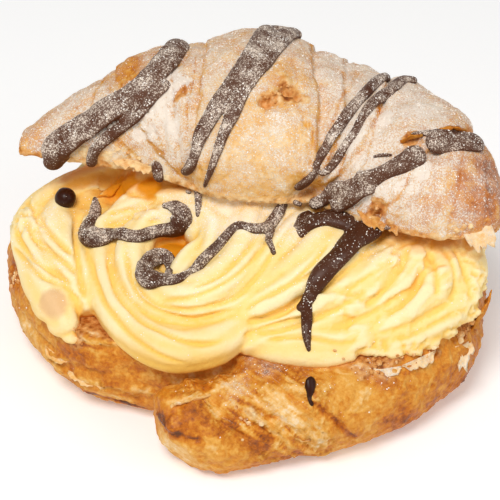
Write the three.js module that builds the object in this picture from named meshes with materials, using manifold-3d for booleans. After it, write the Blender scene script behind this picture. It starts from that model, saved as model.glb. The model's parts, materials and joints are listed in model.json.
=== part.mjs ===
// A custard-filled croissant. A large butter croissant is baked with its horns drawn round to the
// front, so that the right horn crosses over the left one. It is cut through like a bun, star-piped
// custard is laid on the base, and the lid is set back on top, so that the custard shows in front.
// Millimetres, +Z up, +X to the right, the front towards -Y.

import * as THREE from 'three';
import { LoftGeometry } from 'three/addons/geometries/LoftGeometry.js';
import { mergeVertices } from 'three/addons/utils/BufferGeometryUtils.js';
import Module from 'manifold-3d';

const wasm = await Module();
wasm.setup();

// ---------------------------------------------------------------- driving sizes

const FIT_GAP = 0.3;

// The base is cut level. The lid's cut leans back and down to the right, as the lid does.
const BASE_HEIGHT = 26;
const LID_CUT_HEIGHT = 51;
const LID_CUT_SLOPE_X = -0.077;
const LID_CUT_SLOPE_Y = -0.13;

// The slabs that trim the pieces at these cuts are wider than the croissant.
const SLAB_SIZE = 160;

// Slices across the croissant, from its left end to its right end.
// Each one holds its front edge (x, y) and its back edge (x, y).
const BASE_SLICES = [
  [-70, 6, -70, 16],
  [-66, -7, -66, 27],
  [-58, -21, -57, 38],
  [-45, -34, -43, 47],
  [-30, -39, -27, 54],
  [-14, -43, -12, 58],
  [2, -41, 4, 60],
  [17, -42, 20, 58],
  [31, -42, 34, 52],
  [45, -37, 47, 43],
  [56, -25, 58, 32],
  [64, -12, 65, 18],
  [67, -2, 67.5, 6],
];

// The lid's slices hold a fifth number, the rise of the crust above its cut.
const LID_SLICES = [
  [-65.5, 13, -66, 18, 2],
  [-62.5, 11.5, -61.5, 24, 4.5],
  [-53, 10, -51, 32, 11],
  [-40, 7.5, -38, 41, 20],
  [-27, 3.5, -25, 49, 26.5],
  [-13, -5, -11, 55, 29],
  [2, -7.6, 4, 59, 32.5],
  [17, -8, 20, 55, 29],
  [31, -15, 34, 49, 26.5],
  [44, -20.5, 46, 41, 26],
  [56, -20.5, 56, 31, 23],
  [65, -17, 64, 18, 15],
  [69, -8, 68.5, 6, 6],
];

// How full the lid's arch is: 1 is a half ellipse, and less has rounder shoulders.
const ARCH_FULLNESS = 0.78;

// The wall of the base: height above the table, and how far it lies inside its widest outline.
const BASE_WALL = [
  [0, 8],
  [1.2, 5.2],
  [3.5, 2.6],
  [6.5, 1.0],
  [9.5, 0.3],
  [12.5, 0],
  [15.5, 0],
  [18.5, 0.2],
  [21.5, 0.6],
  [24.5, 1.2],
  [BASE_HEIGHT + 4, 2],
];

// The right horn lies across the front of the base: its middle (x, y, z), half width, half height.
const HORN = [
  [51, 0, 13, 14.5, 15],
  [46.5, -17, 13, 16, 16],
  [36, -29.5, 13, 17, 16],
  [20, -39, 13, 16, 15.5],
  [4, -46, 12.5, 14, 14],
  [-8, -50, 11, 12, 12],
  [-17, -51.5, 11.5, 10.5, 11.5],
  [-22.5, -49.5, 14, 7, 7.5],
  [-25.5, -48, 15, 3, 3],
];

// Laps of the rolled dough. On the base they run round the wall and wave up and down, and on the
// horn they run round it on a slant.
const LAP_STEP = 1.5;
const BASE_LAP_HEIGHT = 10;
const BASE_LAP_WAVES = [
  { height: 3.2, count: 3, start: 0.1 },
  { height: 1.6, count: 7, start: 0.35 },
];
const HORN_LAPS = 4;
const HORN_LAP_SLANT = 0.3;
const HORN_LAP_TURN = 0.6;
const HORN_LAP_FADE = 8;

// The creases between the laps of the lid, as fractions of its length at the front edge and at the
// back edge. They fan out from two places on the front edge, and the panel between has no crease.
const LEFT_CREASES = [
  [0.13, 0.1],
  [0.355, 0.19],
  [0.37, 0.385],
];
const RIGHT_CREASES = [
  [0.59, 0.615],
  [0.615, 0.69],
  [0.65, 0.8],
  [0.74, 0.95],
];
const LID_LAP_THICKNESS = 0.9;
const LID_LAP_SWELL = 1.05;
const LID_LAP_FULL_WIDTH = 0.08;
const LID_LAP_FADE = 12;

// The custard is piped with a star nozzle.
const ROPE_RADIUS = 7.4;
const ROPE_RIDGES = 7;
const ROPE_GROOVE = 1.8;
const ROPE_STEP = 4.2;
const SWIRL_POINTS_PER_TURN = 12;

// Each swirl: its middle (x, y), the height of its crown, the distance from its middle to the rope
// at the start and at the end, the angle where it starts, its turns, how far it falls from the
// crown to its edge, and how flat its round is from front to back.
const SWIRLS = [
  { x: -20, y: -24, crown: 41, inner: 6, outer: 20.5, start: 200, turns: 1.75, fall: 9, squeeze: 0.8 },
  { x: -49, y: -5, crown: 41, inner: 2, outer: 11, start: 90, turns: 1.4, fall: 6, squeeze: 1 },
];

// The straight ropes on the right run from under the lid to the front edge: start and end (x, y, z).
const ROPES = [
  [[24, -2, 44], [-2, -36, 33]],
  [[37, -6, 42], [11, -37, 33]],
  [[46, -14, 41], [25, -37, 33]],
  [[56, -14, 39], [41, -33, 33]],
  [[61, -8, 38], [54, -22, 33]],
  [[20, 10, 44], [4, -14, 43]],
];
const ROPE_BELLY = 4;

// The mass that the ropes lie on is a little smaller than the outlines that it runs between. The
// piping inside it shows in its wall as slanted swells.
const CORE_SCALE = 0.92;
const CORE_MIDDLE = new THREE.Vector3(0, 12, 0);
const CORE_SWELLS = 17;
const CORE_SWELL_DEPTH = 3.2;
const CORE_SWELL_SLANT = 0.8;

// How finely the shapes are stepped.
const OUTLINE_STEPS = 76;
const CORE_LEVELS = 8;
const LID_STEPS = 56;
const ARCH_STEPS = 20;
const CHORD_STEPS = 4;
const HORN_STEPS = 26;
const HORN_SIDES = 22;

// ---------------------------------------------------------------- materials

const crustMaterial = new THREE.MeshStandardMaterial({ color: 0xd9a465, roughness: 0.75, metalness: 0 });
const custardMaterial = new THREE.MeshStandardMaterial({ color: 0xf6c66a, roughness: 0.4, metalness: 0 });

// ---------------------------------------------------------------- solids, joins and cuts

function toSolid(geometry) {
  const bare = new THREE.BufferGeometry();
  bare.setAttribute('position', geometry.attributes.position);
  bare.setIndex(geometry.index);
  const merged = mergeVertices(bare, 1e-4);
  const vertProperties = new Float32Array(merged.attributes.position.array);
  const triVerts = new Uint32Array(merged.index.array);
  return new wasm.Manifold(new wasm.Mesh({ numProp: 3, vertProperties, triVerts }));
}

function toGeometry(solid) {
  const { vertProperties, triVerts } = solid.getMesh();
  const geometry = new THREE.BufferGeometry();
  geometry.setAttribute('position', new THREE.BufferAttribute(vertProperties, 3));
  geometry.setIndex(new THREE.BufferAttribute(triVerts, 1));
  geometry.computeVertexNormals();
  return geometry;
}

function closedLoft(sections) {
  return toSolid(new LoftGeometry(sections, { capStart: true, capEnd: true }));
}

// The height of the lid's cut at a place.
function lidCut(x, y) {
  return LID_CUT_HEIGHT + LID_CUT_SLOPE_X * x + LID_CUT_SLOPE_Y * y;
}

// Everything above the table and below the base's cut.
function slabOfBase() {
  const slab = new THREE.BoxGeometry(SLAB_SIZE, SLAB_SIZE, BASE_HEIGHT);
  slab.translate(0, 0, BASE_HEIGHT / 2);
  return toSolid(slab);
}

// Everything between the base's cut and the lid's cut, less the fitting gaps.
function slabOfFilling() {
  const slab = new THREE.BoxGeometry(SLAB_SIZE, SLAB_SIZE, 1);
  const corners = slab.attributes.position;
  for (let i = 0; i < corners.count; i++) {
    const top = lidCut(corners.getX(i), corners.getY(i)) - FIT_GAP;
    corners.setZ(i, corners.getZ(i) > 0 ? top : BASE_HEIGHT + FIT_GAP);
  }
  return toSolid(slab);
}

// ---------------------------------------------------------------- outlines

// The closed outline through the slices' front edges and back along their back edges.
function outlineOf(slices) {
  const front = slices.map(([x, y]) => new THREE.Vector3(x, y, 0));
  const back = slices.map(([, , x, y]) => new THREE.Vector3(x, y, 0)).reverse();
  return new THREE.CatmullRomCurve3([...front, ...back], true, 'centripetal');
}

// How far a value is past the last whole number.
function saw(value) {
  return value - Math.floor(value);
}

// ---------------------------------------------------------------- base

// The round of the base. Its wall is built of laps that run round it, the lower edge of each one
// proud of the lap below.
function bowl() {
  const outline = outlineOf(BASE_SLICES);
  const sections = BASE_WALL.map(([height, inset]) => {
    const ring = [];
    for (let i = 0; i < OUTLINE_STEPS; i++) {
      const t = i / OUTLINE_STEPS;
      const waves = BASE_LAP_WAVES.map((wave) => wave.height * Math.sin(2 * Math.PI * (wave.count * t + wave.start)));
      const lap = saw((height + waves[0] + waves[1]) / BASE_LAP_HEIGHT);
      const inwards = inset + LAP_STEP * lap;
      const point = outline.getPoint(t);
      const along = outline.getTangent(t);
      ring.push(new THREE.Vector3(point.x - along.y * inwards, point.y + along.x * inwards, height));
    }
    return ring;
  });
  return closedLoft(sections);
}

// The right horn: round slices along a bent path, with a step where each lap ends.
function horn() {
  const path = new THREE.CatmullRomCurve3(HORN.map(([x, y, z]) => new THREE.Vector3(x, y, z)));
  const halves = new THREE.CatmullRomCurve3(HORN.map(([, , , w, h]) => new THREE.Vector3(w, h, 0)));
  const sections = [];
  for (let i = 0; i <= HORN_STEPS; i++) {
    const t = i / HORN_STEPS;
    const middle = path.getPoint(t);
    const along = path.getTangent(t);
    const half = halves.getPoint(t);
    const side = new THREE.Vector3(along.y, -along.x, 0).normalize();
    const step = LAP_STEP * Math.min(1, half.x / HORN_LAP_FADE);
    const ring = [];
    for (let j = 0; j < HORN_SIDES; j++) {
      const angle = (2 * Math.PI * j) / HORN_SIDES;
      const lap = step * saw(HORN_LAPS * t + HORN_LAP_SLANT * Math.cos(angle + HORN_LAP_TURN));
      const point = middle.clone().addScaledVector(side, -(half.x + lap) * Math.cos(angle));
      point.z += (half.y + lap) * Math.sin(angle);
      ring.push(point);
    }
    sections.push(ring);
  }
  return closedLoft(sections);
}

// ---------------------------------------------------------------- lid

// How far the crust stands out at a place along the lid (0 to 1) and over its arch (0 at the front
// edge, 1 at the back edge). Each lap starts tucked under its inner neighbour, thickens outwards
// and swells between its creases.
function lapRelief(along, over) {
  const placeOf = ([front, back]) => front + (back - front) * over;
  const edges = [0, ...LEFT_CREASES.map(placeOf), ...RIGHT_CREASES.map(placeOf), 1];
  const lap = edges.findIndex((edge, k) => along >= edge && along <= edges[k + 1]);
  const width = edges[lap + 1] - edges[lap];
  const within = (along - edges[lap]) / width;
  const roundness = Math.sqrt(4 * within * (1 - within));
  const swell = LID_LAP_SWELL * Math.min(1, width / LID_LAP_FULL_WIDTH) * roundness;
  if (lap < LEFT_CREASES.length) return LID_LAP_THICKNESS * (1 - within) + swell;
  if (lap > LEFT_CREASES.length) return LID_LAP_THICKNESS * within + swell;
  return LID_LAP_THICKNESS + swell;
}

// Arched slices from the left end to the right end, each closed below by its cut.
function lid() {
  const curveOf = (pointOf) => new THREE.CatmullRomCurve3(LID_SLICES.map(pointOf));
  const fronts = curveOf(([x, y]) => new THREE.Vector3(x, y, lidCut(x, y)));
  const backs = curveOf(([, , x, y]) => new THREE.Vector3(x, y, lidCut(x, y)));
  const rises = curveOf(([x, , , , rise]) => new THREE.Vector3(x, rise, 0));
  const sections = [];
  for (let i = 0; i <= LID_STEPS; i++) {
    const along = i / LID_STEPS;
    const front = fronts.getPoint(along);
    const back = backs.getPoint(along);
    const rise = rises.getPoint(along).y;
    const across = back.clone().sub(front);
    const backwards = across.clone().normalize();
    const ring = [];
    for (let j = 0; j <= ARCH_STEPS; j++) {
      const angle = (Math.PI * j) / ARCH_STEPS;
      const over = (1 - Math.cos(angle)) / 2;
      const fade = Math.min(1, rise / LID_LAP_FADE) * Math.min(1, 3 * Math.sin(angle));
      const relief = fade * lapRelief(along, over);
      const point = front.clone().addScaledVector(across, over);
      point.z += rise * Math.pow(Math.sin(angle), ARCH_FULLNESS) + relief * Math.sin(angle);
      point.addScaledVector(backwards, -relief * Math.cos(angle));
      ring.push(point);
    }
    for (let j = 1; j < CHORD_STEPS; j++) {
      ring.push(back.clone().lerp(front, j / CHORD_STEPS));
    }
    sections.push(ring.reverse());
  }
  return closedLoft(sections);
}

// ---------------------------------------------------------------- custard

// The mass of custard that the ropes lie on. It fills from the base out to the lid.
function core() {
  const bottom = outlineOf(BASE_SLICES);
  const top = outlineOf(LID_SLICES);
  const floor = BASE_HEIGHT - 2;
  const roof = LID_CUT_HEIGHT + 12;
  const sections = [];
  for (let level = 0; level <= CORE_LEVELS; level++) {
    const up = level / CORE_LEVELS;
    const lean = Math.min(1, 1.35 * Math.pow(up, 1.4));
    const ring = [];
    for (let i = 0; i < OUTLINE_STEPS; i++) {
      const t = i / OUTLINE_STEPS;
      const point = bottom.getPoint(t).lerp(top.getPoint(t), lean).sub(CORE_MIDDLE);
      const swell = Math.abs(Math.sin(Math.PI * (CORE_SWELLS * t + CORE_SWELL_SLANT * up)));
      point.setLength(point.length() * CORE_SCALE + CORE_SWELL_DEPTH * swell).add(CORE_MIDDLE);
      ring.push(new THREE.Vector3(point.x, point.y, floor + (roof - floor) * up));
    }
    sections.push(ring);
  }
  return closedLoft(sections);
}

function starSection() {
  const corners = [];
  for (let k = 0; k < 2 * ROPE_RIDGES; k++) {
    const reach = ROPE_RADIUS - (k % 2) * ROPE_GROOVE;
    const angle = (Math.PI * k) / ROPE_RIDGES;
    corners.push(new THREE.Vector2(reach * Math.cos(angle), reach * Math.sin(angle)));
  }
  return new THREE.Shape(corners);
}

function rope(points) {
  const path = new THREE.CatmullRomCurve3(points);
  const steps = Math.round(path.getLength() / ROPE_STEP);
  return toSolid(new THREE.ExtrudeGeometry(starSection(), { steps, bevelEnabled: false, extrudePath: path }));
}

function swirl({ x, y, crown, inner, outer, start, turns, fall, squeeze }) {
  const points = [];
  const count = Math.ceil(turns * SWIRL_POINTS_PER_TURN);
  for (let i = 0; i <= count; i++) {
    const t = i / count;
    const reach = inner + (outer - inner) * t;
    const angle = THREE.MathUtils.degToRad(start + 360 * turns * t);
    const height = crown - fall * Math.pow(reach / outer, 2);
    points.push(new THREE.Vector3(x + reach * Math.cos(angle), y + squeeze * reach * Math.sin(angle), height));
  }
  return rope(points);
}

// A dome under the middle of a swirl, so that no hollow is left between its turns and the core.
function heart({ x, y, crown, outer, fall, squeeze }) {
  const dome = new THREE.SphereGeometry(1, 20, 12);
  dome.scale(outer, outer * squeeze, crown - BASE_HEIGHT - fall / 2);
  dome.translate(x, y, BASE_HEIGHT);
  return toSolid(dome);
}

function straightRope([from, to]) {
  const start = new THREE.Vector3(...from);
  const end = new THREE.Vector3(...to);
  const middle = start.clone().lerp(end, 0.5);
  middle.z += ROPE_BELLY;
  return rope([start, middle, end]);
}

function filling() {
  let custard = core();
  for (const size of SWIRLS) custard = custard.add(heart(size)).add(swirl(size));
  for (const ends of ROPES) custard = custard.add(straightRope(ends));
  return custard.intersect(slabOfFilling());
}

// ---------------------------------------------------------------- the croissant

const croissant = new THREE.Group();

function addPart(name, solid, material) {
  const mesh = new THREE.Mesh(toGeometry(solid), material);
  mesh.name = name;
  croissant.add(mesh);
}

addPart('croissant_base', bowl().add(horn()).intersect(slabOfBase()), crustMaterial);
addPart('custard_filling', filling(), custardMaterial);
addPart('croissant_lid', lid(), crustMaterial);

// The origin is the middle of the whole croissant's footprint, on the table.
const extent = new THREE.Box3().setFromObject(croissant);
const middle = extent.getCenter(new THREE.Vector3());
croissant.position.set(-middle.x, -middle.y, -extent.min.z);

export default croissant;
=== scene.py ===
import json
import math

import bpy
import numpy as np
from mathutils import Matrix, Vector, noise
from mathutils.bvhtree import BVHTree

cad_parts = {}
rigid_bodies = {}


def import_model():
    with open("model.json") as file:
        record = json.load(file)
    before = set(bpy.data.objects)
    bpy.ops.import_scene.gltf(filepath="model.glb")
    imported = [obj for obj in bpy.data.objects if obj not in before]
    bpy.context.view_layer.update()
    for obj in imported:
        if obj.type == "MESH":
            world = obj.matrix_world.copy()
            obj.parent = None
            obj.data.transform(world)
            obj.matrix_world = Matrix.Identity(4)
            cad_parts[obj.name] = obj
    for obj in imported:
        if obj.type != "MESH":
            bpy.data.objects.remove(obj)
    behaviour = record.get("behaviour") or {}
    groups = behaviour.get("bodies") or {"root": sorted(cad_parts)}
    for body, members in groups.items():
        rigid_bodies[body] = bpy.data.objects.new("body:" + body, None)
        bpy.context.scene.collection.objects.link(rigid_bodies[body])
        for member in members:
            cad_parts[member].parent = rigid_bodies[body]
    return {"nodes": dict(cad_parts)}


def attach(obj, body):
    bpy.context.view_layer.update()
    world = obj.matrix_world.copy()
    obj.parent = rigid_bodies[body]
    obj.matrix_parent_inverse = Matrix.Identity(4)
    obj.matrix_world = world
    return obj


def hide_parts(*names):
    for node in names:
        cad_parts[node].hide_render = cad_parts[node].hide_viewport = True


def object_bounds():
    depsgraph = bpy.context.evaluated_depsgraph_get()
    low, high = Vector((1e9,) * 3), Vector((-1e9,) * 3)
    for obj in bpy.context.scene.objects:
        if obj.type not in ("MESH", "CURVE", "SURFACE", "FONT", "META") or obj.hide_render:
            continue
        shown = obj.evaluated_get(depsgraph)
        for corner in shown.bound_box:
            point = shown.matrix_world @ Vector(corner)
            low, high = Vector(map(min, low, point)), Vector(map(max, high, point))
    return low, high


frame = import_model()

cad_low, cad_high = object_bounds()
MM = 0.001

# ---------------------------------------------------------------- studio
# A plain pale table top under one large soft lamp, high in front and a little to the left, with a
# weaker one on the right. The camera looks down at the croissant's open front from a hand's height.

CAMERA_ELEVATION = math.radians(38)
CAMERA_DISTANCE = 0.525
CAMERA_LENS = 135
CAMERA_SENSOR = 36
AIM = (0.0006, 0.0018, 0.030)
SKY = 0.36
TABLE_SIZE = 3
TABLE_GREY = 0.9
TABLE_ROUGHNESS = 0.8
TABLE_GLOW = 0.2
# Each lamp: its place and its size (m), its power (W) and its colour.
LAMPS = [
    ("key_lamp", (-0.18, -0.44, 0.84), 0.40, 6.0, (1.0, 0.99, 0.97)),
    ("fill_lamp", (0.62, -0.30, 0.45), 0.60, 1.0, (1.0, 0.99, 0.97)),
]

scene = bpy.context.scene
scene.view_settings.view_transform = "Standard"
aim = Vector(AIM)

bpy.ops.object.camera_add(rotation=(math.pi / 2 - CAMERA_ELEVATION, 0, 0))
camera = bpy.context.object
camera.name = "camera"
towards_camera = Vector((0, -math.cos(CAMERA_ELEVATION), math.sin(CAMERA_ELEVATION)))
camera.location = aim + towards_camera * CAMERA_DISTANCE
camera.data.lens = CAMERA_LENS
camera.data.sensor_width = CAMERA_SENSOR
camera.data.clip_start = 0.05
scene.camera = camera

sky = bpy.data.worlds.new("studio_sky")
sky.use_nodes = True
sky.node_tree.nodes["Background"].inputs["Color"].default_value = (1, 1, 1, 1)
sky.node_tree.nodes["Background"].inputs["Strength"].default_value = SKY
scene.world = sky

for lamp_name, lamp_place, lamp_size, lamp_power, lamp_colour in LAMPS:
    bpy.ops.object.light_add(type="AREA", location=lamp_place)
    lamp = bpy.context.object
    lamp.name = lamp_name
    lamp.data.shape = "DISK"
    lamp.data.size = lamp_size
    lamp.data.energy = lamp_power
    lamp.data.color = lamp_colour
    lamp.rotation_euler = (aim - lamp.location).to_track_quat("-Z", "Y").to_euler()

bpy.ops.mesh.primitive_plane_add(size=TABLE_SIZE, location=(0, 0, cad_low.z))
table_top = bpy.context.object
table_top.name = "table_top"
table_finish = bpy.data.materials.new("pale_table")
table_finish.use_nodes = True
table_shader = table_finish.node_tree.nodes["Principled BSDF"]
table_shader.inputs["Base Color"].default_value = (TABLE_GREY, TABLE_GREY, TABLE_GREY, 1)
table_shader.inputs["Roughness"].default_value = TABLE_ROUGHNESS
table_shader.inputs["Emission Color"].default_value = (1, 1, 1, 1)
table_shader.inputs["Emission Strength"].default_value = TABLE_GLOW
table_top.data.materials.append(table_finish)

# ---------------------------------------------------------------- base
# The lower half of a baked butter croissant, with its right horn drawn across the front over the
# left one. Laminated dough: the laps lie over each other as thin steps, browned most on the bulges,
# pale in the folds, and torn open in a few places. It is cut level on top and is one piece.

BASE_GRAIN = 0.7
BASE_SMOOTHING = 4

# Two edges on the horn that its browning follows too: the lap that its layers run along, and the
# fold round its tip.
HORN_LAP = [(19, -54.5, 8.5), (16.5, -55.5, 12.5), (10.5, -56.5, 19), (4.5, -54, 22.5), (-0.5, -49.5, 24),
            (-6, -44, 23)]
TIP_EDGE = [(-23.5, -50.5, 17.5), (-22.5, -54, 16.8), (-20.5, -57, 17), (-18.5, -58.5, 17),
            (-15.5, -60, 17), (-12, -60.8, 16.2)]

# Laps of the dough: a line along each edge (x, y, z), how far the dough on its right stands up, and
# how wide that dough is. Seen from outside, the right is the right hand of one who walks the line.
BASE_LAPS = [
    ([(-50.5, -26, 21), (-46.5, -28.5, 22.5), (-42.5, -31, 24.5), (-39, -32, 25)], 0.9, 5),
    ([(-66, -5, 13), (-61, -12.5, 13), (-55, -21, 15), (-51.5, -24.5, 15), (-47, -29, 16),
      (-42.5, -32.5, 17)], 0.6, 5),
    ([(-56, -20, 11.5), (-51.5, -25, 11), (-47.5, -29.5, 11), (-44, -31.5, 11), (-40.5, -33, 11.5),
      (-36.5, -34.5, 13.5)], 0.9, 6),
    ([(-24, -37, 5), (-29, -35.5, 5), (-32, -34.5, 5.5), (-36.5, -33.5, 6), (-41, -31.5, 6.5),
      (-45.5, -27.5, 5)], 1.1, 6),
    ([(30, -50.5, 7.5), (23.5, -54, 18), (17, -53, 23.5), (14, -52.5, 25), (9, -51, 26),
      (3.5, -43.5, 26)], 1.5, 10),
    ([(24, -53, 8), (20.5, -55.5, 14.5), (15, -54.5, 20), (9, -53, 24), (3.5, -48.5, 25.5),
      (-1, -44.5, 25.5)], 0.9, 4),
    ([(21.5, -54, 8), (18.5, -56, 14), (12.5, -55.5, 19.5), (7, -53, 23.5), (1.5, -49, 24.5),
      (-3.5, -42.5, 23.5)], 0.7, 3),
    (HORN_LAP, 1.0, 3.5),
    ([(12.5, -56, 7.5), (11, -57, 11.5), (5.5, -57.5, 17.5), (0.5, -55, 21), (-4, -51.5, 23),
      (-9, -47, 23.5)], 0.8, 3.5),
    (TIP_EDGE[::-1], 1.0, 5),
    ([(-28, -36, 9), (-32.5, -36, 10.5), (-37, -34.5, 12.5), (-40.5, -33, 12), (-44.5, -32, 11.5),
      (-48.5, -29, 11)], 1.1, 6),
    ([(-36.5, -34.5, 17), (-41.5, -33, 16.5), (-45, -31, 18), (-49, -27.5, 14.5), (-53.5, -23, 12.5),
      (-56.5, -19, 13)], 0.8, 5),
    ([(-34, -34, 25), (-39.5, -32, 25.5), (-45, -29, 24), (-50.5, -26, 21)], 1.0, 5),
    ([(66, 12, 20), (69, 0, 16), (67, -12, 13), (60, -26, 9), (52, -36, 6)], 0.8, 7),
    ([(-64, 22, 17), (-56, 38, 15), (-42, 48, 14), (-24, 55, 13), (-4, 60, 14)], 1.0, 8),
    ([(6, 60.5, 9), (24, 57, 11), (40, 48, 12), (54, 36, 12), (63, 22, 13)], 1.0, 8),
    ([(-50, 42, 6), (-36, 50, 5), (-18, 56, 5), (2, 59, 6)], 0.9, 5),
    ([(-58, 34, 22), (-46, 45, 20), (-30, 53, 21), (-12, 58, 19), (8, 59.5, 20)], 1.2, 7),
    ([(12, 59, 19), (28, 55, 22), (42, 47, 19), (55, 36, 21), (64, 22, 18), (67, 8, 20)], 1.3, 7),
    ([(-66, 12, 9), (-62, 26, 7), (-52, 40, 9)], 1.0, 6), ([(48, 42, 6), (60, 28, 5), (66, 12, 7)], 1.0, 5),
]

# Furrows: a line along each one, its depth and its half width.
BASE_FURROWS = [
    ([(-10.5, -50, 23), (-9, -52, 22.5), (-8.5, -55, 21), (-6, -57, 18.5), (-4, -58.5, 16.5),
      (0, -59.5, 15)], 1.7, 2.0),
    ([(-2.5, -38, 25), (-9.5, -39.5, 21), (-11.5, -43.5, 22), (-14.5, -48.5, 23.5),
      (-17.5, -52, 23.5)], 0.9, 1.6),
    ([(12, -56, 13), (15, -56, 10), (18, -55, 7)], 0.7, 1.0),
    ([(-40, -33, 9), (-33, -35.5, 9), (-27, -37, 9)], 0.5, 1.2),
]

# Hollows left by burst bubbles and torn crust: place, radius and depth.
BASE_HOLLOWS = [
    ((-66, 2.5, 23.5), 2.0, 0.9),
    ((-66.5, 0.5, 20.5), 1.3, 0.7), ((-64, -4, 22.5), 1.7, 0.9), ((41, -46, 12), 4.5, 0.7),
    ((50.5, -33.5, 23.5), 1.8, 1.2), ((57, -27, 24.5), 1.6, 1.2), ((10, -56.5, 12), 1.5, 0.8),
    ((-46, -27, 24), 2.5, 0.9), ((60, -19, 25.5), 3.5, 1.6), ((36, -42, 25.5), 3.0, 1.3),
    ((30, 55, 20), 2.6, 0.8), ((-30, 53, 9), 2.4, 0.8), ((66, 14, 8), 2.2, 0.7),
]

# The flats on the horn's tip, where it stood against the tray: a point on each and its direction. What
# was beyond them is pressed back by this share.
HORN_FLATS = [((-18.4, -56.1, 9.4), (-0.57, -0.71, -0.40)), ((-21.8, -54, 15), (-0.93, -0.36, 0.05))]
HORN_PRESS = 0.88

# About how far out from the middle the sides stand (mm).
SIDE_RADIUS = 62

# The torn web across the horn: a line along it, its half width and its depth.
HORN_WEB = ([(-5, -55.5, 21.5), (-1.5, -56, 21), (2, -57, 19.5), (5.5, -57, 18), (8, -56, 17)], 3.2, 0.9)

# How the crust has baked: place, browning (0 is raw-pale and 1 is dark) and fallen sugar (0 to 1).
BASE_BAKE = [
    (-67, 6, 16, 0.55, 0.15), (-65, 0, 22, 0.70, 0.10), (-63.5, -7.5, 19.5, 0.50, 0.05),
    (-62, -12, 12, 0.36, 0.10), (-57, -20, 9, 0.38, 0.05), (-55, -20, 18, 0.52, 0.0),
    (-50, -25, 19, 0.62, 0.0), (-47, -28.5, 24, 0.75, 0.0), (-45, -30, 13, 0.66, 0.0),
    (-46, -29, 8, 0.50, 0.05), (-39, -33.5, 19, 0.66, 0.0), (-36, -34, 12, 0.66, 0.0),
    (-38, -33, 8, 0.45, 0.0), (-31, -35.5, 16.5, 0.64, 0.0), (-30, -35, 8, 0.55, 0.0),
    # Under the custard's overhanging front the browning is paler, partly painted light that lifts the
    # shadow there.
    (-23.5, -38.5, 15.5, 0.58, 0.0), (-24, -37, 9, 0.50, 0.0), (-20, -41, 21, 0.44, 0.0),
    (-12.5, -40, 20.5, 0.42, 0.0), (-6, -38.5, 23, 0.44, 0.0), (-17, -47, 22, 0.50, 0.05),
    (-21, -54, 21, 0.62, 0.0), (-15.5, -57.5, 21, 0.75, 0.0), (-12, -53, 23.5, 0.64, 0.0),
    (-22, -57, 17, 0.78, 0.0), (-20.5, -56.5, 11.5, 0.24, 0.05), (-17, -57, 6, 0.30, 0.0),
    (-8.5, -60.5, 12.5, 0.44, 0.0), (-6, -60, 7, 0.50, 0.0), (-5, -59, 18, 0.58, 0.0),
    (-0.5, -58.5, 18, 0.60, 0.0), (3.5, -58.5, 15, 0.56, 0.0), (2, -59.5, 10, 0.60, 0.0),
    (24, -52.5, 14, 0.58, 0.0), (0.5, -55, 21.5, 0.48, 0.0), (4, -58, 17, 0.54, 0.0),
    (-2, -48.5, 25, 0.42, 0.55), (-9, -45, 24, 0.42, 0.25), (4, -50, 24.5, 0.42, 0.36),
    (9, -53, 22.5, 0.32, 0.18), (14, -55, 18, 0.36, 0.05), (18, -55, 12, 0.42, 0.0),
    (6, -42, 26, 0.72, 0.48), (13.5, -46, 26, 0.64, 0.26), (20, -48, 25, 0.46, 0.15),
    (27, -48, 22, 0.40, 0.05), (30, -48, 14, 0.46, 0.05), (30, -49, 8, 0.52, 0.0),
    (34, -44.5, 23.5, 0.68, 0.25), (40, -42, 22.5, 0.66, 0.15), (36, -46, 18, 0.44, 0.05),
    (40, -46, 11.5, 0.74, 0.0), (46, -41, 15, 0.50, 0.0), (47, -38, 21, 0.50, 0.05),
    (53, -35.5, 15, 0.64, 0.05), (54, -31, 22, 0.56, 0.0), (59.5, -26, 15.5, 0.62, 0.0),
    (60, -22, 23, 0.55, 0.0), (66, -8, 15, 0.62, 0.0), (66, 10, 15, 0.60, 0.05), (40, -42, 3, 0.66, 0.0),
    (10, -55, 3, 0.60, 0.0), (-10, -55, 2, 0.55, 0.0), (-60, 30, 16, 0.52, 0.1), (-40, 49, 17, 0.62, 0.1),
    (-15, 57, 15, 0.56, 0.1), (10, 59, 17, 0.62, 0.1), (35, 51, 15, 0.55, 0.1), (56, 33, 16, 0.62, 0.1),
    (0, 0, 0, 0.62, 0.0), (-30, 20, 0, 0.66, 0.0), (30, 20, 0, 0.60, 0.0),
    (0, 10, 26, 0.25, 0.0),
]

# Below this browning the crust hardly gets paler, and all of it baked this much darker.
PALEST = 0.27
BASE_DARKER = 0.035
# Less sugar reached it than the lid: this share of what is given above.
BASE_SUGAR = 0.62
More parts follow.
